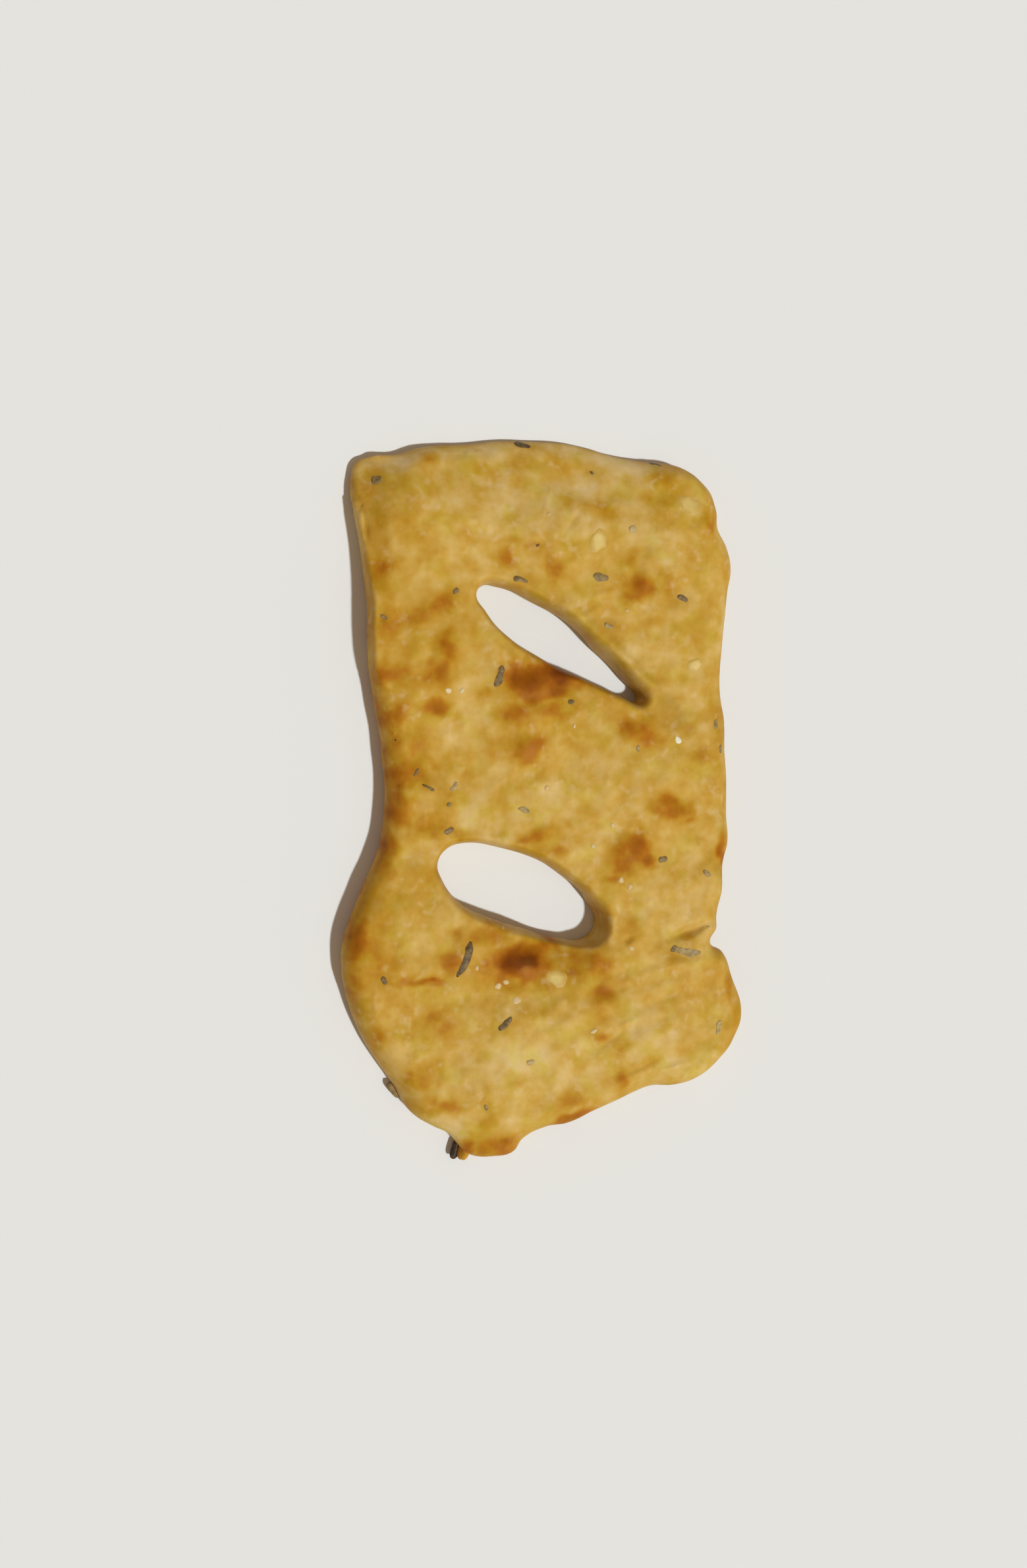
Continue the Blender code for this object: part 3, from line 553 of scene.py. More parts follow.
PATCHES = [  # above 0 a patch is browner, and below 0 it is paler
    (9.0, 64.0, 13.0, 7.0, 0, -0.13), (0.5, 63.0, 3.5, 3.0, 0, -0.08), (13.0, 70.3, 6.0, 1.8, -10, -0.10),
    (24.3, 55.2, 3.5, 3.5, 0, -0.22), (-17.0, 66.8, 4.0, 3.0, 0, -0.13), (8.0, 46.7, 3.0, 3.0, 0, -0.12),
    (-8.7, 57.2, 3.5, 3.0, 0, -0.11), (-24.8, 58.9, 4.0, 3.0, 0, -0.10), (37.5, 38.0, 2.5, 6.0, 0, -0.12),
    (28.1, 28.9, 3.0, 3.0, 0, -0.17), (37.8, 11.8, 2.0, 3.0, 0, 0.14), (15.2, 1.8, 3.0, 3.0, 0, 0.11),
    (33.1, -7.4, 3.0, 3.0, 0, 0.11), (36.3, -26.0, 2.5, 2.2, 0, -0.14), (4.4, 25.4, 3.2, 2.0, -25, 0.48),
    (-4.2, 26.8, 2.0, 1.5, 0, -0.12), (2.0, 16.2, 2.5, 2.0, 0, 0.13), (-9.4, 10.9, 2.5, 2.5, 0, 0.10),
    (-22.5, 22.0, 2.6, 3.0, 0, 0.18), (-27.5, 14.0, 4.0, 6.0, 0, 0.14), (-31.8, 3.3, 2.0, 3.0, 0, 0.12),
    (-16.5, -3.3, 4.5, 2.5, 0, -0.18), (5.0, -2.8, 3.0, 3.0, 0, -0.14), (13.5, -8.0, 2.5, 2.5, 0, -0.11),
    (-24.1, -15.4, 3.0, 3.0, 0, 0.15), (11.2, -18.5, 2.5, 2.5, 0, -0.12),
    (22.3, -20.7, 3.5, 3.0, 0, -0.10), (-36.0, -30.0, 4.0, 8.0, 0, 0.22),
    (-37.6, -47.6, 2.0, 3.5, 0, -0.13), (-32.4, -56.0, 2.5, 3.0, -60, -0.12),
    (-21.0, -67.5, 7.0, 3.5, -35, -0.18), (-6.5, -53.0, 7.0, 4.0, 0, -0.16),
    # (1.0, -30.3), under the lower slash, is painted shade where the rim there slopes away from the sun
    (-7.1, -42.4, 3.0, 2.5, 0, -0.12), (1.0, -30.3, 3.0, 1.5, -15, 0.34), (5.6, -38.2, 2.5, 2.5, 0, 0.11),
    (14.9, -32.8, 2.5, 2.5, 0, 0.10), (13.0, -54.6, 3.5, 2.5, 0, -0.13), (5.0, -61.3, 2.5, 2.0, 0, -0.10),
    (22.0, -50.5, 4.0, 3.0, 0, -0.14), (31.0, -58.0, 9.0, 3.0, 20, -0.15),
    (35.5, -38.9, 6.5, 3.0, 0, 0.13), (27.7, 49.3, 2.5, 2.5, 0, -0.12), (-17.5, -70.5, 3.0, 2.0, 0, -0.12),
    (-23.7, 5.4, 2.5, 2.5, 0, 0.11), (-29.5, -47.4, 3.0, 3.0, 0, 0.11),
    (-11.0, -8.5, 3.0, 1.5, -10, -0.12), (-18.9, 26.4, 2.0, 2.5, 0, 0.11),
    (-20.7, -59.2, 3.0, 2.5, 0, -0.11), (25.4, 33.7, 2.5, 2.5, 0, -0.11), (35.7, 60.0, 2.0, 2.5, 0, 0.11),
    (32.8, -27.9, 2.5, 1.8, 0, -0.11), (5.8, 54.8, 2.5, 2.5, 0, -0.10), (-11.0, -59.1, 3.0, 3.0, 0, -0.10),
    (0.3, -10.9, 2.5, 1.5, -10, 0.10), (8.8, 21.2, 5.0, 3.5, -20, 0.05),
    (-28.3, -62.5, 4.0, 3.0, -40, -0.07), (-28.8, -38.4, 7.0, 5.0, 0, 0.05),
    (-26.2, 8.0, 5.0, 5.0, 0, 0.04), (16.7, -61.6, 5.0, 2.5, 25, -0.05), (20.3, 50.7, 4.0, 4.0, 0, -0.05),
    (2.6, 23.2, 2.2, 1.8, 0, 0.12), (-1.3, 28.1, 2.2, 1.0, -20, -0.12), (-1.6, -32.5, 2.0, 2.0, 0, 0.10),
    (-15.4, 31.7, 2.5, 2.5, 0, -0.09), (14.4, 38.3, 3.0, 1.8, -35, -0.09),
    (14.3, -50.5, 2.5, 2.0, 0, -0.09), (24.8, 11.0, 2.2, 2.2, 0, -0.09), (-33.5, -24.2, 2.0, 3.0, 0, 0.09),
    (-13.2, 0.3, 2.5, 2.0, 0, -0.09), (13.7, 56.5, 3.0, 2.5, 0, -0.08), (-21.6, -10.5, 1.5, 3.0, 0, 0.08),
    (-0.6, -2.1, 2.5, 1.5, 0, -0.08), (-32.6, 39.8, 2.2, 3.5, 0, 0.11), (-34.8, 20.5, 1.5, 5.0, 0, 0.10),
    (1.0, -44.4, 3.0, 2.0, 0, 0.09), (-3.9, -35.3, 2.0, 1.5, 0, 0.05), (1.9, 22.1, 2.0, 2.0, 0, 0.09),
    (30.9, -44.1, 3.0, 2.5, 0, 0.08), (32.3, 8.4, 2.5, 2.5, 0, 0.08), (37.6, -15.0, 2.0, 2.5, 0, 0.08),
]
print(len(PALE_AND_PAINTED_LIGHT), "paler spots and", len(PATCHES), "uneven patches")

# %% How far each place is baked
PLAIN_BAKE = 0.29
RIM_BAKE = (1.7, 0.08)  # how far in from the edge the rim is browned, and how much
UNDER_BAKE = 0.06
SPOT_RIM = (1.6, 1.4)  # how far out a spot reaches, and how much of that is its soft rim
HALO = 2.3
HALO_SHARE = 0.24
# Waves that make the spots' rims uneven, broad ones and fine ones, across and along
SPOT_WANDER = [[(3.2, 1.1, 7.5), (3.2, 1.1, 8.5)], [(1.1, 0.25, 9.5), (1.1, 0.25, 10.5)]]


def paint(obj, name, values):
    layer = obj.data.attributes.new(name, "FLOAT", "POINT")
    layer.data.foreach_set("value", np.asarray(values, dtype=np.float32))


def uneven(points):
    moved = points.copy()
    for across, along in SPOT_WANDER:
        moved[:, 0] += waves(points, *across)
        moved[:, 1] += waves(points, *along)
    return moved


def soft_spot(places, spot):
    out = np.sqrt(spot_reach(places, spot))
    core = smooth_step((SPOT_RIM[0] - out) / SPOT_RIM[1])
    halo = smooth_step((HALO - out) / HALO)
    return spot[5] * ((1 - HALO_SHARE) * core + HALO_SHARE * halo)


def strongest(places, spots):
    painted = np.zeros(len(places))
    for spot in spots:
        painted = np.maximum(painted, soft_spot(places, spot))
    return painted


shape = points_of(dough)
places = uneven(shape[:, :2])
edge_distance = outer_edge.nearest(shape[:, :2])[0]
girth_there = every_edge.nearest(shape[:, :2])[3]
# the paler spots include painted light on edges and walls that slope away from the sun
baked = PLAIN_BAKE + strongest(places, BROWNED) - strongest(places, PALE_AND_PAINTED_LIGHT)
baked += sum(soft_spot(places, patch) for patch in PATCHES)
baked += RIM_BAKE[1] * np.exp(-edge_distance / RIM_BAKE[0])
baked += UNDER_BAKE * np.clip(1 - shape[:, 2] / girth_there, 0, 1)
paint(dough, "bake", baked)
print(f"the crust is baked from {baked.min():.2f} to {baked.max():.2f}")

# %% [markdown]
# ## Where the herbs lie
#
# The herbs were pressed into the dough before it was baked, and each leaves a stain of oil that is a
# little wider than itself, with painted shade round it where it meets the crust. So their places come
# first, before the oil and the shade are painted and before a leaf is modelled.

# %% Where the herbs lie
# Each herb is (x, y, length, width, turn, tone). The tone goes from black for char to a pale grey green
HERBS = [
    (-17.0, -32.5, 8.3, 1.9, 67, 0.38), (30.7, -32.6, 7.2, 1.8, -10, 0.72),
    (-9.8, 25.5, 4.9, 1.8, 69, 0.45), (-8.7, -46.1, 4.3, 1.5, 35, 0.44), (11.6, 46.0, 3.6, 1.9, -3, 0.56),
    (-3.7, 73.4, 3.6, 1.4, -12, 0.32), (38.7, -49.3, 3.4, 1.7, 82, 0.90),
    (-5.4, 45.2, 3.4, 1.3, -18, 0.50), (-4.8, -1.9, 3.3, 1.2, -16, 0.78),
    (-24.9, 2.9, 3.1, 0.9, -38, 0.52), (35.2, -15.9, 2.6, 1.3, -44, 0.72),
    (29.3, 42.1, 2.8, 1.4, -30, 0.40), (-19.3, 3.0, 2.6, 1.4, 44, 0.80), (-20.4, -6.0, 2.4, 1.3, 19, 0.55),
    (13.4, 36.1, 2.1, 1.3, -30, 0.74), (-34.5, 64.9, 2.4, 2.0, 8, 0.52), (25.4, -12.9, 1.9, 1.5, 0, 0.52),
    (24.8, 70.3, 2.4, 1.0, -12, 0.32), (-34.0, -36.1, 2.0, 1.3, -77, 0.42),
    (37.2, 15.5, 2.0, 1.4, 81, 0.64), (18.5, 56.1, 2.2, 1.9, 0, 0.92), (5.3, 20.4, 1.5, 1.3, 0, 0.42),
    (-19.2, 42.6, 1.5, 1.3, 30, 0.48), (-3.3, -54.3, 1.6, 1.2, 21, 0.84),
    (-33.7, 37.0, 1.5, 1.1, -21, 0.50), (-2.1, 52.3, 0.9, 0.8, 0, 0.40), (19.7, 10.5, 1.8, 0.9, -90, 0.72),
    (28.0, -31.8, 1.7, 1.5, 60, 0.42), (-20.3, -0.5, 1.2, 0.9, 22, 0.60),
    (38.6, 10.2, 1.7, 0.9, -90, 0.60), (-13.1, -63.1, 1.4, 0.8, -64, 0.66),
    (10.6, 67.9, 0.9, 0.7, 0, 0.40), (-27.0, 6.0, 1.6, 0.7, 75, 0.45),
]
# Two more stand out of the edge: (x, y, height, length, width, turn, tilt, tone)
EDGE_HERBS = [
    (-30.9, -60.4, 2.1, 4.4, 1.9, -52, 8, 0.50), (-17.7, -73.5, 2.1, 4.9, 2.3, 73, 0, 0.06),
]
print(len(HERBS) + len(EDGE_HERBS), "herbs")

# %% [markdown]
# ## Oil, painted shade, blush and painted sheen
#
# Oil gathers beside the slashes, in the hollows and round the herbs, and makes the crust there deeper in
# colour and a little green. The same paint also lays painted shade on the slashes' rims, in the hollows
# and the groove, along the pressed end and round the herbs. On the blisters a pink sheen is painted on the
# side that faces the lower edge, where the sun falls: a painted highlight. The same mix gives the curl and
# a few spots on the right edge a red tone of their own. Both are painted the same way as the browning.

# %% Where the oil, the painted shade, the blush and the painted sheen are
# partly oil and partly painted shade: the spots along the top edge, in the cut side's groove, on the rims
# of both slashes, in the crease by the pinch and round the small herbs darken the crust where shade falls
OILED_AND_SHADED = [
    (-7.0, 69.5, 6.0, 2.0, 0, 0.20), (-37.1, 55.0, 3.5, 0.5, 97, 0.35), (-24.0, 40.0, 6.0, 5.0, 0, 0.12),
    (-31.5, 8.0, 2.0, 10.0, 0, 0.12), (9.0, 37.6, 5.0, 0.9, -36, 0.40), (15.9, 31.6, 4.5, 1.0, -42, 0.50),
    (21.0, 26.5, 4.5, 1.0, -47, 0.50), (24.4, 21.0, 2.2, 0.6, -50, 0.35),
    (25.5, 19.0, 2.5, 0.8, -15, 0.30), (-9.0, 31.5, 5.0, 0.6, -38, 0.20),
    (-1.0, 28.0, 6.0, 0.6, -25, 0.25), (10.0, 23.2, 8.0, 0.8, -20, 0.30),
    (-17.8, -30.5, 3.0, 3.5, 0, 0.30), (5.0, -32.5, 5.0, 1.6, 0, 0.20), (16.2, -25.5, 0.6, 3.0, -12, 0.35),
    (14.9, -31.8, 2.5, 2.0, 0, 0.38), (28.5, -31.0, 4.5, 2.2, -6, 0.45), (33.0, -28.5, 6.0, 0.9, 17, 0.40),
    (2.0, -42.0, 22.0, 2.6, 8, 0.20), (-24.0, 4.0, 3.0, 2.0, 0, 0.30), (38.5, 13.0, 1.3, 4.5, 0, 0.25),
    (34.0, -16.0, 2.2, 2.0, 0, 0.25), (13.6, 36.2, 1.6, 1.3, 0, 0.45), (-25.0, -33.0, 5.0, 2.5, 0, 0.20),
    (-30.0, -57.5, 1.5, 5.5, 25, 0.20), (-22.8, -15.5, 1.5, 4.0, 0, 0.15),
    (-10.0, -8.0, 12.0, 1.0, -8, 0.12), (5.5, -14.8, 8.0, 1.2, -38, 0.15),
    (-33.7, -9.5, 0.7, 2.0, 0, 0.60), (-35.9, -14.6, 0.8, 1.1, -30, 0.50),
    (-33.7, 37.0, 0.9, 0.8, 0, 0.50), (-20.3, -0.5, 0.7, 0.6, 22, 0.45), (-30.7, -4.2, 0.7, 0.7, 0, 0.50),
    (-13.1, -58.1, 0.5, 1.1, 0, 0.35), (-13.1, -63.1, 0.9, 0.7, -64, 0.40),
    (33.2, -8.4, 0.9, 1.1, 0, 0.40), (19.2, -21.3, 0.9, 0.7, 0, 0.30), (18.0, -29.5, 1.3, 0.5, 14, 0.55),
    (10.5, 67.6, 0.9, 0.6, 0, 0.50), (-16.0, -66.5, 1.2, 0.9, 0, 0.30), (3.0, -70.0, 1.0, 0.9, 0, 0.20),
    (22.5, 51.8, 1.4, 1.2, 0, 0.20), (26.0, -45.0, 2.2, 0.8, 15, 0.25), (19.5, -49.0, 1.5, 1.5, 0, 0.20),
    (12.5, -52.5, 2.0, 1.0, 20, 0.20), (-22.0, -20.5, 3.0, 2.0, 0, 0.18), (37.5, -41.5, 3.0, 1.6, 0, 0.25),
    (-11.3, 26.5, 2.5, 2.5, 0, 0.35), (26.8, 20.0, 3.0, 2.5, -20, 0.40), (2.9, 40.3, 4.0, 1.6, -25, 0.40),
    (33.0, 9.7, 2.5, 2.5, 0, 0.32), (28.7, 41.4, 2.5, 2.5, 0, 0.28), (-19.3, -28.1, 2.5, 2.5, 0, 0.38),
    (-19.3, -37.2, 2.5, 2.5, 0, 0.26), (27.4, -32.9, 2.5, 2.0, 0, 0.40),
    (-11.9, 36.1, 2.2, 2.5, -50, 0.32), (1.4, -43.8, 3.0, 2.0, 0, 0.28), (19.3, -43.6, 2.5, 2.0, 0, 0.25),
    (30.5, -44.1, 3.0, 2.0, 0, 0.30), (37.6, -15.0, 2.0, 2.5, 0, 0.28), (37.7, 13.0, 2.5, 5.5, 0, 0.24),
    (9.0, 21.5, 5.0, 3.0, -20, 0.18), (29.9, 16.4, 2.5, 2.5, 0, 0.28), (-18.4, -22.1, 4.0, 3.0, 0, 0.22),
    (38.5, -6.0, 2.0, 4.0, 0, 0.18), (5.0, -38.5, 4.0, 2.5, 0, 0.18),
]
# mostly painted sheen: a pink highlight on the side of each blister that faces the sun; the spots on the
# right edge at (39.8, -11.0), (42.0, -38.0) and (36.5, 60.5) are a red tone of the crust's own
SHEEN_AND_BLUSH_SPOTS = [
    (-1.9, 22.3, 3.6, 1.1, 5, 0.50), (0.4, 17.6, 3.3, 1.3, -10, 0.40), (-4.2, 10.0, 1.9, 2.6, 10, 0.70),
    (-4.2, -35.9, 2.8, 1.5, -5, 0.68), (17.5, -12.0, 2.2, 1.7, 0, 0.35), (19.8, -11.6, 0.9, 1.5, 0, 0.30),
    (18.6, 11.4, 1.5, 1.0, 20, 0.35), (-25.5, -1.5, 2.6, 2.2, 0, 0.30), (-9.0, -72.5, 3.4, 1.2, 5, 0.35),
    (28.0, -2.8, 3.0, 1.0, -20, 0.20), (39.8, -11.0, 0.9, 3.0, 0, 0.25), (3.0, -8.3, 1.8, 0.9, 10, 0.25),
    (-6.0, 14.0, 4.0, 1.0, 10, 0.25), (42.0, -38.0, 1.2, 5.0, 15, 0.25), (36.5, 60.5, 1.3, 4.0, 15, 0.20),
]
STAIN_AND_SHADE_RIM = 0.3
STAIN_AND_SHADE = 0.30
STAIN_AND_SHADE_FREE = 1.3  # a leaf as pale as this leaves neither an oil stain nor painted shade round it

# a darker ring round each herb: partly its oil stain and partly painted shade where the leaf meets the
# crust, darker round a darker leaf
stains_and_shade = [
    (x, y, length / 2 + STAIN_AND_SHADE_RIM, width / 2 + STAIN_AND_SHADE_RIM, turn, STAIN_AND_SHADE * (STAIN_AND_SHADE_FREE - tone))
    for x, y, length, width, turn, tone in HERBS
]
# the oil paint carries the painted shade too, and the blush paint the painted sheen; the counts printed
# below include both
paint(dough, "oil_and_shade", strongest(places, OILED_AND_SHADED + stains_and_shade))
paint(dough, "sheen_and_blush", strongest(places, SHEEN_AND_BLUSH_SPOTS))
print(len(OILED_AND_SHADED + stains_and_shade), "oily spots and", len(SHEEN_AND_BLUSH_SPOTS), "blushed ones")

# %% [markdown]
# ## The curl at the toe
#
# At the toe a small curl of dough sticks out next to a charred herb. It could be pulled out of the
# slab's own mesh, but a ball that is pressed, turned and sunk into the toe is easier to place. It browns
# like the rest of the edge, so it gets the same three paints.

# %% The curl
CURL = (-16.0, -73.4, 2.3)
CURL_SIZE = (5.0, 2.5, 3.6)
CURL_TURN = 74
CURL_WAVES = (2.2, 0.6, 12.5)
CURL_BAKE = 0.56
CURL_UNDER_BAKE = 0.06  # for each millimetre below its middle
CURL_OIL = 0.1
CURL_BLUSH = 0.2

bpy.ops.object.select_all(action="DESELECT")
bpy.ops.mesh.primitive_uv_sphere_add(segments=40, ring_count=24, radius=0.5)
curl = bpy.context.object
curl.name = "toe_curl"
curl.scale = Vector(CURL_SIZE) * MM
curl.rotation_euler.z = math.radians(CURL_TURN)
curl.location = Vector(CURL) * MM
settle(curl)
ball = points_of(curl)
outward = (ball - CURL) / np.linalg.norm(ball - CURL, axis=1)[:, None]
move_points(curl, ball + outward * waves(ball[:, :2] + ball[:, 2:], *CURL_WAVES)[:, None])
bpy.ops.object.shade_smooth()
paint(curl, "bake", CURL_BAKE + CURL_UNDER_BAKE * (CURL[2] - ball[:, 2]))
paint(curl, "oil_and_shade", np.full(len(ball), CURL_OIL))
paint(curl, "sheen_and_blush", np.full(len(ball), CURL_BLUSH))
print(count(curl))

# %% [markdown]
# ## Herbs
#
# Chopped rosemary and thyme are small leaves whose margins roll under as they dry. One leaf is modelled
# with care: a grid whose outer rows are pushed down and whose ends are drawn in. It is then given a
# thickness and smoothed. Every herb on the bread is a copy of it, cut to its own length and width, and
# laid on the crust so that it follows the bumps under it. A dry leaf only gives a little, so it spans the
# deeper hollows.

# %% One leaf
LEAF_COLUMNS = 12
LEAF_ROWS = 6
ROLLED = {0: -0.5, 1: -0.22, 2: -0.04, 3: 0.0, 4: -0.04, 5: -0.22, 6: -0.5}  # how far down each row is
TIP_DROP = 0.25
TIP_WIDTH = 0.14
TIP_CURVE = 4  # the higher this power, the further out the leaf stays broad
LEAF_THICKNESS = 0.3


def in_row(index):
    return index // (LEAF_COLUMNS + 1)


def in_column(index):
    return index % (LEAF_COLUMNS + 1)


def select_points(obj, chosen):
    bpy.ops.mesh.select_all(action="DESELECT")
    bpy.ops.object.mode_set(mode="OBJECT")
    for vertex in obj.data.vertices:
        vertex.select = chosen(vertex.index)
    bpy.ops.object.mode_set(mode="EDIT")


bpy.ops.object.select_all(action="DESELECT")
bpy.ops.mesh.primitive_grid_add(x_subdivisions=LEAF_COLUMNS, y_subdivisions=LEAF_ROWS, size=1)
leaf = bpy.context.object
leaf.name = "leaf"
bpy.ops.object.mode_set(mode="EDIT")
bpy.ops.mesh.select_mode(type="VERT")
for row, drop in ROLLED.items():
    select_points(leaf, lambda index: in_row(index) == row)
    bpy.ops.transform.translate(value=(0, 0, drop))
for column in range(LEAF_COLUMNS + 1):
    from_middle = abs(2 * column / LEAF_COLUMNS - 1)
    select_points(leaf, lambda index: in_column(index) == column)
    width = max(TIP_WIDTH, math.sqrt(1 - from_middle**TIP_CURVE))
    bpy.ops.transform.resize(value=(1, width, 1), center_override=(0, 0, 0))
    bpy.ops.transform.translate(value=(0, 0, -TIP_DROP * from_middle**TIP_CURVE))
bpy.ops.object.mode_set(mode="OBJECT")
finish_with(leaf, "SOLIDIFY", thickness=LEAF_THICKNESS, offset=-1)
finish_with(leaf, "SUBSURF", levels=1)
bpy.ops.object.shade_smooth()
print(count(leaf))

# %% A leaf cut to size
TIP_SCORCH = 0.1
TONE_SPREAD = 0.03
TONE_DRAW = random.Random(3)


def cut_leaf(length, width, height, tone):
    """A copy of the leaf in its own size, painted with how far its margin rolls and with its tone."""
    piece = copied(leaf)
    piece.scale = Vector((length, width, height)) * MM
    settle(piece)
    blade = points_of(piece)
    tips = np.abs(2 * blade[:, 0] / length) ** 3  # 0 in the middle and 1 at each tip
    paint(piece, "margin", np.clip(-2 * blade[:, 2] / height, 0, 1))
    paint(piece, "tone", tone - TIP_SCORCH * tips + TONE_DRAW.uniform(-TONE_SPREAD, TONE_SPREAD))
    return piece


print("the longest herb is", max(herb[2] for herb in HERBS), "mm long")

# %% Laying a piece on the crust
HERB_BEND = 0.035
HERB_WAVES = [(1.5, 0.4, 16.5), (1.5, 0.4, 17.5)]  # across and along
HERB_GIVE = 0.5  # the furthest that a leaf bends to follow the crust
ABOVE_ALL = 50
DOWN = Vector((0, 0, -1))
crust = bvhtree.BVHTree.FromPolygons(
    [tuple(point) for point in points_of(dough)], [tuple(face.vertices) for face in dough.data.polygons]
)


def turned(points, turn):
    turn = math.radians(turn)
    return points @ np.array([[math.cos(turn), math.sin(turn)], [-math.sin(turn), math.cos(turn)]])


def lay(piece, x, y, turn, lift):
    """Lays a piece on the crust at a place. It follows the crust's bumps as far as it can give."""
    blade = points_of(piece)
    blade[:, 1] += HERB_BEND * blade[:, 0] ** 2
    flat = turned(blade[:, :2], turn) + (x, y)
    flat += np.column_stack([waves(flat, *wave) for wave in HERB_WAVES])
    place, normal, *_ = crust.ray_cast(Vector((x, y, ABOVE_ALL)), DOWN)
    slope = -(flat - (x, y)) @ np.array([normal.x, normal.y]) / normal.z
    plane = place.z + slope
    under = [crust.ray_cast(Vector((*point, ABOVE_ALL)), DOWN)[0] for point in flat]
    under = np.array([hit.z if hit else level for hit, level in zip(under, plane)])
    ground = plane + np.clip(under - plane, -HERB_GIVE, HERB_GIVE)
    move_points(piece, np.column_stack([flat, ground + blade[:, 2] + lift]))
    return piece


print("the crust under the pieces has", len(dough.data.polygons), "faces")

# %% Herbs on the crust
HERB_HEIGHT = 0.5
HERB_LIFT = 0.2  # of the leaf's middle over the crust, so that the rolled margins touch it
EDGE_HERB_HEIGHT = 1.3

herb_pieces = [
    lay(cut_leaf(length, width, HERB_HEIGHT, tone), x, y, turn, HERB_LIFT)
    for x, y, length, width, turn, tone in HERBS
]
for x, y, height, length, width, turn, tilt, tone in EDGE_HERBS:
    piece = cut_leaf(length, width, EDGE_HERB_HEIGHT, tone)
    piece.rotation_euler = (math.radians(tilt), 0, math.radians(turn))
    piece.location = Vector((x, y, height)) * MM
    herb_pieces.append(settle(piece))
herbs = joined(herb_pieces, "herbs")
pick(leaf)
bpy.ops.object.delete()
print(count(herbs))

# %% [markdown]
# ## Melted flecks and grains of salt
#
# A few flecks of cheese melted into the crust: low, soft and pale yellow, and they blend in at the rim.
# Coarse salt left grains that catch the light. How bright each grain is, is listed, from close to the
# crust's tone to nearly white. Both are made from a ball pressed flat, because heat and damp took their
# corners, and both are laid on the crust like the herbs.

# %% Flecks and salt
# Both are (x, y, length, width, turn), and a grain has its brightness too
FLECKS = [
    (11.1, 53.3, 4.8, 4.0, 60), (2.1, -37.1, 4.0, 3.5, 20), (32.5, 27.9, 3.4, 2.6, 20),
    (30.9, 61.4, 5.0, 4.2, -30),
]
SALT = [
    (28.4, 12.3, 1.6, 1.5, 0, 1.0), (-20.7, 22.5, 1.2, 1.1, 30, 0.4), (-17.8, 22.6, 1.1, 1.0, 10, 0.3),
    (10.1, -9.6, 1.0, 0.9, 50, 0.2), (14.2, -5.5, 1.1, 1.0, 0, 0.2), (16.0, -17.0, 1.5, 1.2, 40, 0.12),
    (18.0, -18.4, 1.5, 1.1, 70, 0.12), (18.4, -31.3, 1.3, 1.1, 0, 0.12), (-9.1, -26.2, 0.9, 0.8, 0, 0.1),
    (-14.8, -34.2, 1.1, 1.0, 20, 0.12), (-8.5, -37.5, 1.3, 1.1, 45, 0.15),
    (-10.3, -38.4, 1.5, 1.3, 0, 0.22), (-6.3, -41.4, 1.6, 1.4, 15, 0.15),
    (10.2, -48.4, 1.4, 0.8, 20, 0.25), (6.1, 15.1, 0.9, 0.7, 60, 0.3), (0.2, 2.6, 1.0, 0.9, 0, 0.12),
    (17.2, 39.2, 0.9, 0.8, 0, 0.1), (0.6, 58.6, 1.0, 0.7, 60, 0.1),
]
FLECK_DETAIL = 5
FLECK_HEIGHT = 0.5
FLECK_LIFT = -0.07
FLECK_WAVES = (1.9, 0.35, 14.5)  # the height here is a share of the fleck's own size
MELT_RIM = 1.4  # the higher, the quicker a fleck blends in from its rim
SALT_DETAIL = 3
SALT_HEIGHT = 0.32
SALT_LIFT = 0.0


def ball(detail, length, width, height):
    bpy.ops.object.select_all(action="DESELECT")
    bpy.ops.mesh.primitive_ico_sphere_add(subdivisions=detail, radius=0.5)
    made = bpy.context.object
    made.scale = Vector((length, width, height)) * MM
    return settle(made)


flecks = []
for x, y, length, width, turn in FLECKS:
    fleck = ball(FLECK_DETAIL, length, width, FLECK_HEIGHT)
    round_blob = points_of(fleck)
    wobble = 1 + waves(round_blob[:, :2] + (x, y), *FLECK_WAVES)
    round_blob[:, :2] *= wobble[:, None]
    move_points(fleck, round_blob)
    out = np.sqrt(spot_reach(round_blob[:, :2], (0, 0, length / 2, width / 2, 0)))
    paint(fleck, "melt", smooth_step(MELT_RIM * (1 - out)))
    bpy.ops.object.shade_smooth()
    flecks.append(lay(fleck, x, y, turn, FLECK_LIFT))
flecks = joined(flecks, "cheese_flecks")

grains = []
for x, y, length, width, turn, brightness in SALT:
    grain = ball(SALT_DETAIL, length, width, SALT_HEIGHT)
    paint(grain, "brightness", np.full(len(grain.data.vertices), brightness))
    grains.append(lay(grain, x, y, turn, SALT_LIFT))
salt = joined(grains, "salt_grains")
print(count(flecks), "and", count(salt))

# %% [markdown]
# ## The crust's material
#
# Crust is neither paint nor plastic. Its colour runs from cream through gold and orange to a brown that is
# nearly black, and never stays the same for more than a few millimetres. The baked number goes through a
# colour ramp, after soft noise of three sizes has been added to it. Oil and painted shade then deepen the
# colour, a painted pink sheen on the blisters and a red tone elsewhere redden it, and pale flecks of
# painted glint lie on top. A little light passes through the skin, and the brushed oil gives it a soft
# gloss.

# %% Nodes
def node(tree, kind, **settings):
    made = tree.nodes.new(kind)
    for name, value in settings.items():
        setattr(made, name, value)
    return made


def material(name):
    made = bpy.data.materials.new(name)
    made.use_nodes = True
    tree = made.node_tree
    return made, tree, tree.nodes["Principled BSDF"]


def plug(tree, socket, value):
    """Sets a socket to a number or a colour, or links it to another node's output."""
    if isinstance(value, (int, float)):
        socket.default_value = value
    elif isinstance(value, tuple):
        socket.default_value = (*value, 1)
    else:
        tree.links.new(value, socket)


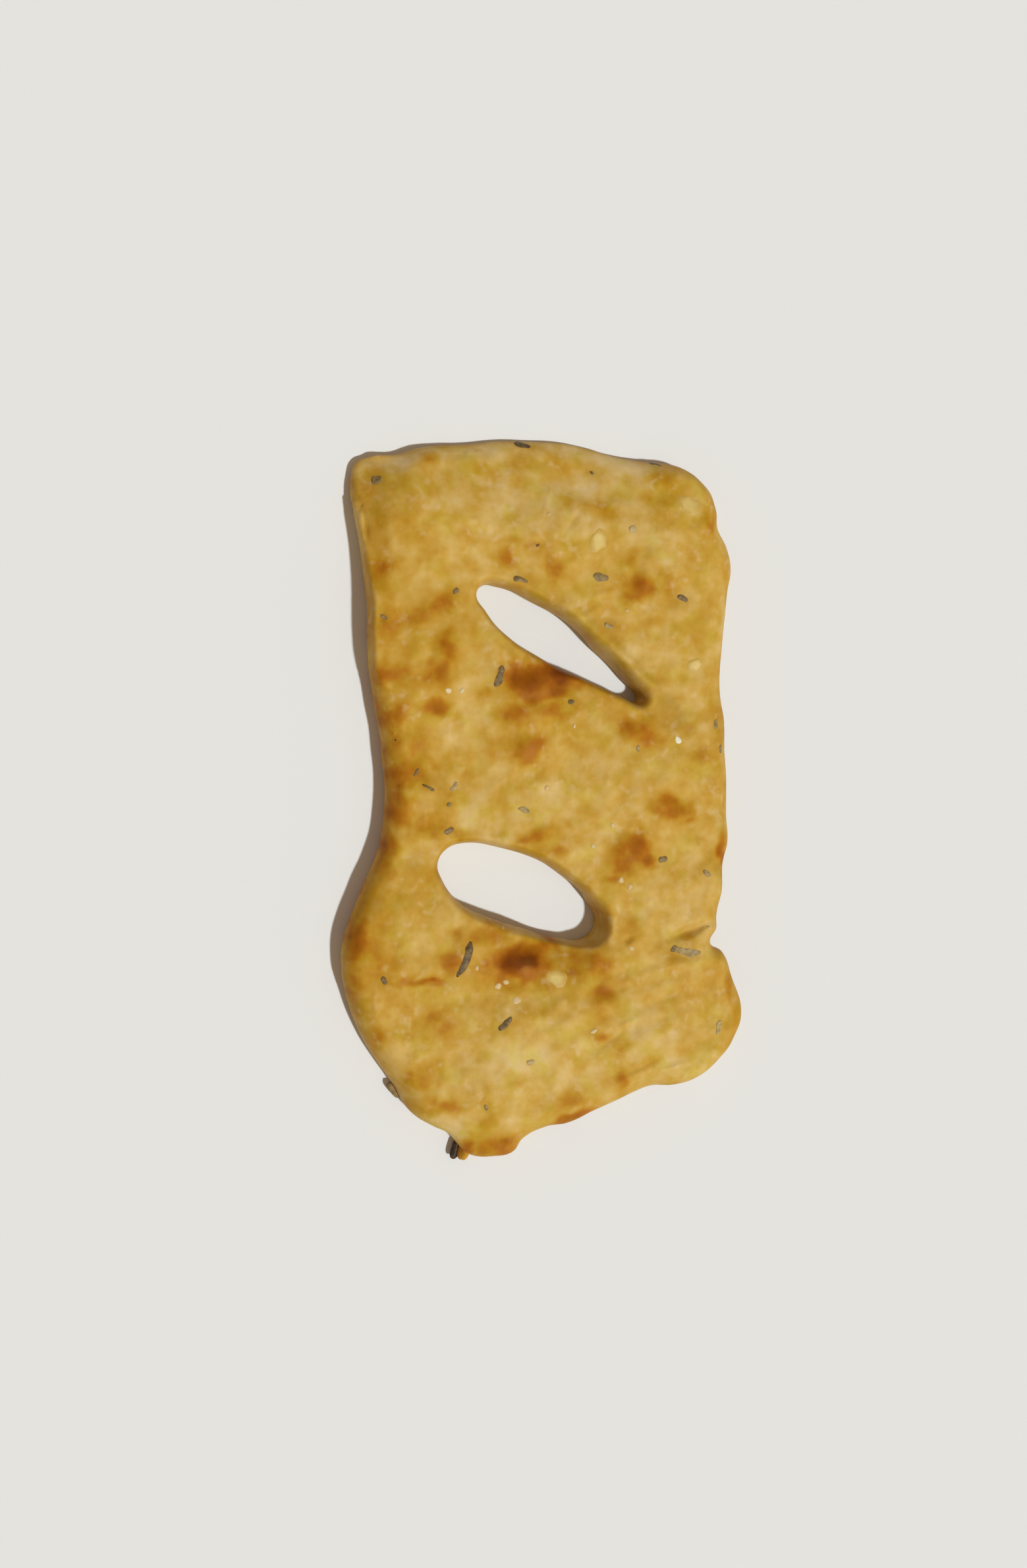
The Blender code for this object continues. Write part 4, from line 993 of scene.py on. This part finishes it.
def math_node(tree, operation, first, second):
    made = node(tree, "ShaderNodeMath", operation=operation)
    plug(tree, made.inputs[0], first)
    plug(tree, made.inputs[1], second)
    return made.outputs[0]


def plus(tree, first, second):
    return math_node(tree, "ADD", first, second)


def times(tree, first, second):
    return math_node(tree, "MULTIPLY", first, second)


def mixed(tree, share, first, second, blend="MIX"):
    made = node(tree, "ShaderNodeMix", data_type="RGBA", blend_type=blend)
    factor, a, b = made.inputs[0], made.inputs[6], made.inputs[7]
    plug(tree, factor, share)
    plug(tree, a, first)
    plug(tree, b, second)
    return made.outputs[2]


def stretched(tree, value, low, high):
    """A smooth step from 0 at the low value to 1 at the high one."""
    made = node(tree, "ShaderNodeMapRange", interpolation_type="SMOOTHSTEP")
    plug(tree, made.inputs["Value"], value)
    plug(tree, made.inputs["From Min"], low)
    plug(tree, made.inputs["From Max"], high)
    return made.outputs["Result"]


print("ready to mix finishes")

# %% Patterns
LIGHT_REACH = (1.0, 0.5, 0.2)  # of red, green and blue light, as shares of the depth


def soft_noise(tree, size, detail=2.0, layer=0.0):
    """Noise with lumps about this many millimetres apart, from 0 to 1. Each layer has lumps of its own."""
    place = node(tree, "ShaderNodeTexCoord")
    made = node(tree, "ShaderNodeTexNoise", noise_dimensions="4D")
    made.inputs["Scale"].default_value = 1 / (size * MM)
    made.inputs["Detail"].default_value = detail
    made.inputs["W"].default_value = layer
    tree.links.new(place.outputs["Object"], made.inputs["Vector"])
    return made.outputs["Fac"]


def added_noise(tree, value, layers):
    """A value with soft noise added, from (size in mm, share) pairs. A share is the furthest that its
    noise moves the value, up or down."""
    for index, (size, share) in enumerate(layers):
        centred = math_node(tree, "SUBTRACT", soft_noise(tree, size, layer=float(index)), 0.5)
        value = plus(tree, value, times(tree, centred, share * 2))
    return value


def blotches(tree, size, layer, low, high, detail=2.0):
    """Soft blotches that start where the noise is low and are whole where it is high."""
    return stretched(tree, soft_noise(tree, size, detail, layer), low, high)


def painted(tree, name):
    made = node(tree, "ShaderNodeAttribute", attribute_name=name)
    return made.outputs["Fac"]


def colour_ramp(tree, value, stops):
    made = node(tree, "ShaderNodeValToRGB")
    ramp = made.color_ramp
    while len(ramp.elements) < len(stops):
        ramp.elements.new(0.5)
    for element, (position, colour) in zip(ramp.elements, stops):
        element.position = position
        element.color = (*colour, 1)
    tree.links.new(value, made.inputs["Fac"])
    return made.outputs["Color"]


def bumped(tree, shader, layers):
    """Fine relief from (size, height) pairs in mm, one bump on the other."""
    normal = None
    for size, height in layers:
        made = node(tree, "ShaderNodeBump")
        made.inputs["Distance"].default_value = height * MM
        tree.links.new(soft_noise(tree, size), made.inputs["Height"])
        if normal:
            tree.links.new(normal, made.inputs["Normal"])
        normal = made.outputs["Normal"]
    tree.links.new(normal, shader.inputs["Normal"])


def see_through(shader, weight, depth):
    """Lets light into the piece, red light furthest."""
    shader.inputs["Subsurface Weight"].default_value = weight
    shader.inputs["Subsurface Radius"].default_value = LIGHT_REACH
    shader.inputs["Subsurface Scale"].default_value = depth * MM


print("ready to draw patterns")

# %% The baked crust
BAKED_COLOURS = [
    (0.00, (0.700, 0.515, 0.235)), (0.16, (0.628, 0.418, 0.124)), (0.30, (0.560, 0.330, 0.053)),
    (0.44, (0.495, 0.252, 0.018)), (0.58, (0.420, 0.152, 0.006)), (0.74, (0.310, 0.088, 0.002)),
    (0.90, (0.205, 0.044, 0.001)), (1.00, (0.150, 0.034, 0.001)),
]
MOTTLING = [(7.0, 0.30), (3.0, 0.22), (1.1, 0.045)]  # (size of the lumps, share)
SHEEN_AND_BLUSH_MOTTLING = [(1.4, 0.3)]
# Blotches are (size, layer, low, high, detail)
OLIVE_BLOTCHES = (5.0, 5.0, 0.45, 0.65)
OIL_AND_SHADE_BLOTCHES = (2.0, 8.0, 0.1, 0.6)
# where the pale flecks of painted glint lie, and how strong they are
GLINT_BLOTCHES = (1.9, 6.0, 0.52, 0.74, 1.0)
GLINT_PATCHES = (8.0, 7.0, 0.38, 0.62, 1.0)
GLINT_SHARE = 0.35
SHEEN_AND_BLUSH_FROM_TO = (0.1, 0.9)
DARK_FROM_TO = (0.35, 0.65)  # how far the crust is baked where it starts to be dark, and where it is dark
PLAIN_ROUGHNESS = 0.44
UNEVEN_ROUGHNESS = 0.25
UNEVEN_GLOSS_SIZE = 2.2
DARK_ROUGHNESS = 0.12
CRUST_BUMPS = [(1.3, 0.052), (0.4, 0.01)]  # (size, height)
OLIVE_TINT = (0.93, 0.97, 0.62)
# this tint darkens both the oil and the painted shade
OIL_AND_SHADE_TINT = (0.62, 0.56, 0.22)
# this colour is a painted pink sheen on the blisters, and a red tone of its own on the curl and some edge
# spots
SHEEN_AND_BLUSH = (0.430, 0.160, 0.022)
# the colour of pale flecks that are painted glints
PAINTED_GLINT = (0.72, 0.53, 0.28)
OIL_SHINE = (1.0, 0.78, 0.38)


def baked_crust():
    made, tree, shader = material("baked_crust")
    bake = painted(tree, "bake")
    colour = colour_ramp(tree, added_noise(tree, bake, MOTTLING), BAKED_COLOURS)
    colour = mixed(tree, blotches(tree, *OLIVE_BLOTCHES), colour, OLIVE_TINT, "MULTIPLY")
    # oil darkens the crust, and the same paint lays painted shade on rims, in hollows and round the herbs
    oil_and_shade = times(tree, painted(tree, "oil_and_shade"), blotches(tree, *OIL_AND_SHADE_BLOTCHES))
    colour = mixed(tree, oil_and_shade, colour, OIL_AND_SHADE_TINT, "MULTIPLY")
    # painted sheen on the blisters' lit side, and on the curl an even red tone
    sheen_and_blush = added_noise(tree, painted(tree, "sheen_and_blush"), SHEEN_AND_BLUSH_MOTTLING)
    colour = mixed(tree, stretched(tree, sheen_and_blush, *SHEEN_AND_BLUSH_FROM_TO), colour, SHEEN_AND_BLUSH)
    dark = stretched(tree, bake, *DARK_FROM_TO)
    # pale flecks of painted glint, fewest where the crust is dark
    grains = times(tree, blotches(tree, *GLINT_BLOTCHES), blotches(tree, *GLINT_PATCHES))
    grains = times(tree, times(tree, grains, GLINT_SHARE), math_node(tree, "SUBTRACT", 1.0, dark))
    plug(tree, shader.inputs["Base Color"], mixed(tree, grains, colour, PAINTED_GLINT))
    roughness = times(tree, soft_noise(tree, UNEVEN_GLOSS_SIZE), UNEVEN_ROUGHNESS)
    roughness = plus(tree, roughness, times(tree, dark, DARK_ROUGHNESS))
    plug(tree, shader.inputs["Roughness"], plus(tree, roughness, PLAIN_ROUGHNESS))
    shader.inputs["Specular IOR Level"].default_value = 0.28
    plug(tree, shader.inputs["Specular Tint"], OIL_SHINE)
    see_through(shader, weight=0.1, depth=1.2)
    bumped(tree, shader, CRUST_BUMPS)
    return made


crust_finish = baked_crust()
print(len(BAKED_COLOURS), "colours from cream to char")

# %% [markdown]
# ## The small pieces' materials
#
# A dried leaf is dull and grey green, and darker at its tips, which scorch first. Its rolled margins are
# painted a little lighter, as a painted highlight. Melted cheese keeps the crust's gloss and gets paler
# towards its middle.
# Salt goes from a tone close to the crust's to nearly white, as far as each grain's listed brightness
# says. Each has its own small noise, because none of them is one even colour.

# %% Herb, cheese and salt
LEAF_COLOURS = [
    (0.00, (0.030, 0.014, 0.006)), (0.20, (0.085, 0.045, 0.014)), (0.40, (0.160, 0.104, 0.036)),
    (0.60, (0.270, 0.178, 0.060)), (0.80, (0.380, 0.275, 0.110)), (1.00, (0.520, 0.385, 0.150)),
]
LEAF_MOTTLING = [(0.9, 0.40), (0.35, 0.20)]
LEAF_BUMPS = [(0.4, 0.06)]
# the rolled margins are painted this much lighter: a painted highlight
MARGIN_HIGHLIGHT = 0.08
FLECK_COLOURS = ((0.565, 0.350, 0.065), (0.690, 0.510, 0.160))  # at the rim and in the middle
FLECK_MOTTLING = [(1.2, 0.25)]
FLECK_BUMPS = [(1.0, 0.05)]
SALT_COLOURS = ((0.580, 0.370, 0.100), (0.860, 0.780, 0.580))  # at a brightness of 0 and of 1
SALT_MOTTLING = [(0.5, 0.2)]


def dried_herb():
    made, tree, shader = material("dried_herb")
    tone = added_noise(tree, painted(tree, "tone"), LEAF_MOTTLING)
    # painted highlight on the rolled margins
    tone = plus(tree, tone, times(tree, painted(tree, "margin"), MARGIN_HIGHLIGHT))
    plug(tree, shader.inputs["Base Color"], colour_ramp(tree, tone, LEAF_COLOURS))
    shader.inputs["Roughness"].default_value = 0.55
    shader.inputs["Specular IOR Level"].default_value = 0.3
    bumped(tree, shader, LEAF_BUMPS)
    return made


def melted_cheese():
    made, tree, shader = material("cheese_fleck")
    melt = added_noise(tree, painted(tree, "melt"), FLECK_MOTTLING)
    plug(tree, shader.inputs["Base Color"], mixed(tree, melt, *FLECK_COLOURS))
    shader.inputs["Roughness"].default_value = 0.5
    shader.inputs["Specular IOR Level"].default_value = 0.28
    see_through(shader, weight=0.15, depth=1.2)
    bumped(tree, shader, FLECK_BUMPS)
    return made


def coarse_salt():
    made, tree, shader = material("salt")
    bright = added_noise(tree, painted(tree, "brightness"), SALT_MOTTLING)
    plug(tree, shader.inputs["Base Color"], mixed(tree, bright, *SALT_COLOURS))
    shader.inputs["Roughness"].default_value = 0.55
    see_through(shader, weight=0.3, depth=0.8)
    return made


herb_finish = dried_herb()
fleck_finish = melted_cheese()
salt_finish = coarse_salt()
print("finishes:", herb_finish.name, fleck_finish.name, salt_finish.name)

# %% [markdown]
# ## Putting the bread together
#
# Each piece now gets its finish, and rides on the bread's only body. The pieces were modelled on the
# outline's coordinates, so their meshes are moved to stand over the solid's origin, and the objects stay
# where they are. The crust takes the place of the plain solid.

# %% The finished pieces
PIECES = [
    (dough, "fougasse_crust", crust_finish, "baked_crust"),
    (curl, "toe_curl", crust_finish, "baked_crust"),
    (herbs, "herbs", herb_finish, "dried_herb"),
    (flecks, "cheese_flecks", fleck_finish, "cheese_fleck"),
    (salt, "salt_grains", salt_finish, "cheese_fleck"),
]
for piece, name, finish, slot in PIECES:
    piece.name = name
    piece.data.materials.clear()
    piece.data.materials.append(finish)
    piece.data.transform(Matrix.Translation(Vector((-MIDDLE[0], -MIDDLE[1], 0)) * MM))
    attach(piece, "root")
    print(count(piece))
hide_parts("fougasse")

# %% [markdown]
# ## The floor and the light
#
# Bread is easiest to judge on a pale, dull floor, which throws no colour back at it. One sun stands high
# and to the lower right. It is a little soft, like a window close by, and it throws a short shadow to the
# left. The sky fills the shadows with a faint warm light.

# %% The floor
FLOOR_SIZE = 6000
FLOOR_GAP = 0.02  # keeps the floor clear of the bread's base
FLOOR_COLOUR = (0.795, 0.804, 0.800)

bpy.ops.object.select_all(action="DESELECT")
bpy.ops.mesh.primitive_plane_add(size=FLOOR_SIZE * MM, location=(0, 0, -FLOOR_GAP * MM))
floor = bpy.context.object
floor.name = "floor"
pale_floor, floor_tree, shader = material("pale_floor")
plug(floor_tree, shader.inputs["Base Color"], FLOOR_COLOUR)
shader.inputs["Roughness"].default_value = 0.9
floor.data.materials.append(pale_floor)
print("the floor is", FLOOR_SIZE * MM, "m wide")

# %% The light
SUN_FROM = Vector((0.38, -0.38, 1.0))
SUN_STRENGTH = 2.6
SUN_COLOUR = (0.935, 0.985, 1.0)
SUN_WIDTH = 0.06  # in radians: the wider, the softer the shadows' rims
SKY_STRENGTH = 0.30
SKY_COLOUR = (1.0, 0.78, 0.60)

bpy.ops.object.light_add(type="SUN")
sun = bpy.context.object
sun.data.energy = SUN_STRENGTH
sun.data.color = SUN_COLOUR
sun.data.angle = SUN_WIDTH
sun.rotation_euler = SUN_FROM.to_track_quat("Z", "Y").to_euler()
world = bpy.data.worlds.new("studio")
bpy.context.scene.world = world
world.use_nodes = True
sky = world.node_tree.nodes["Background"]
sky.inputs["Color"].default_value = (*SKY_COLOUR, 1)
sky.inputs["Strength"].default_value = SKY_STRENGTH
bpy.context.scene.view_settings.view_transform = "Standard"
print("the sun's strength is", SUN_STRENGTH)
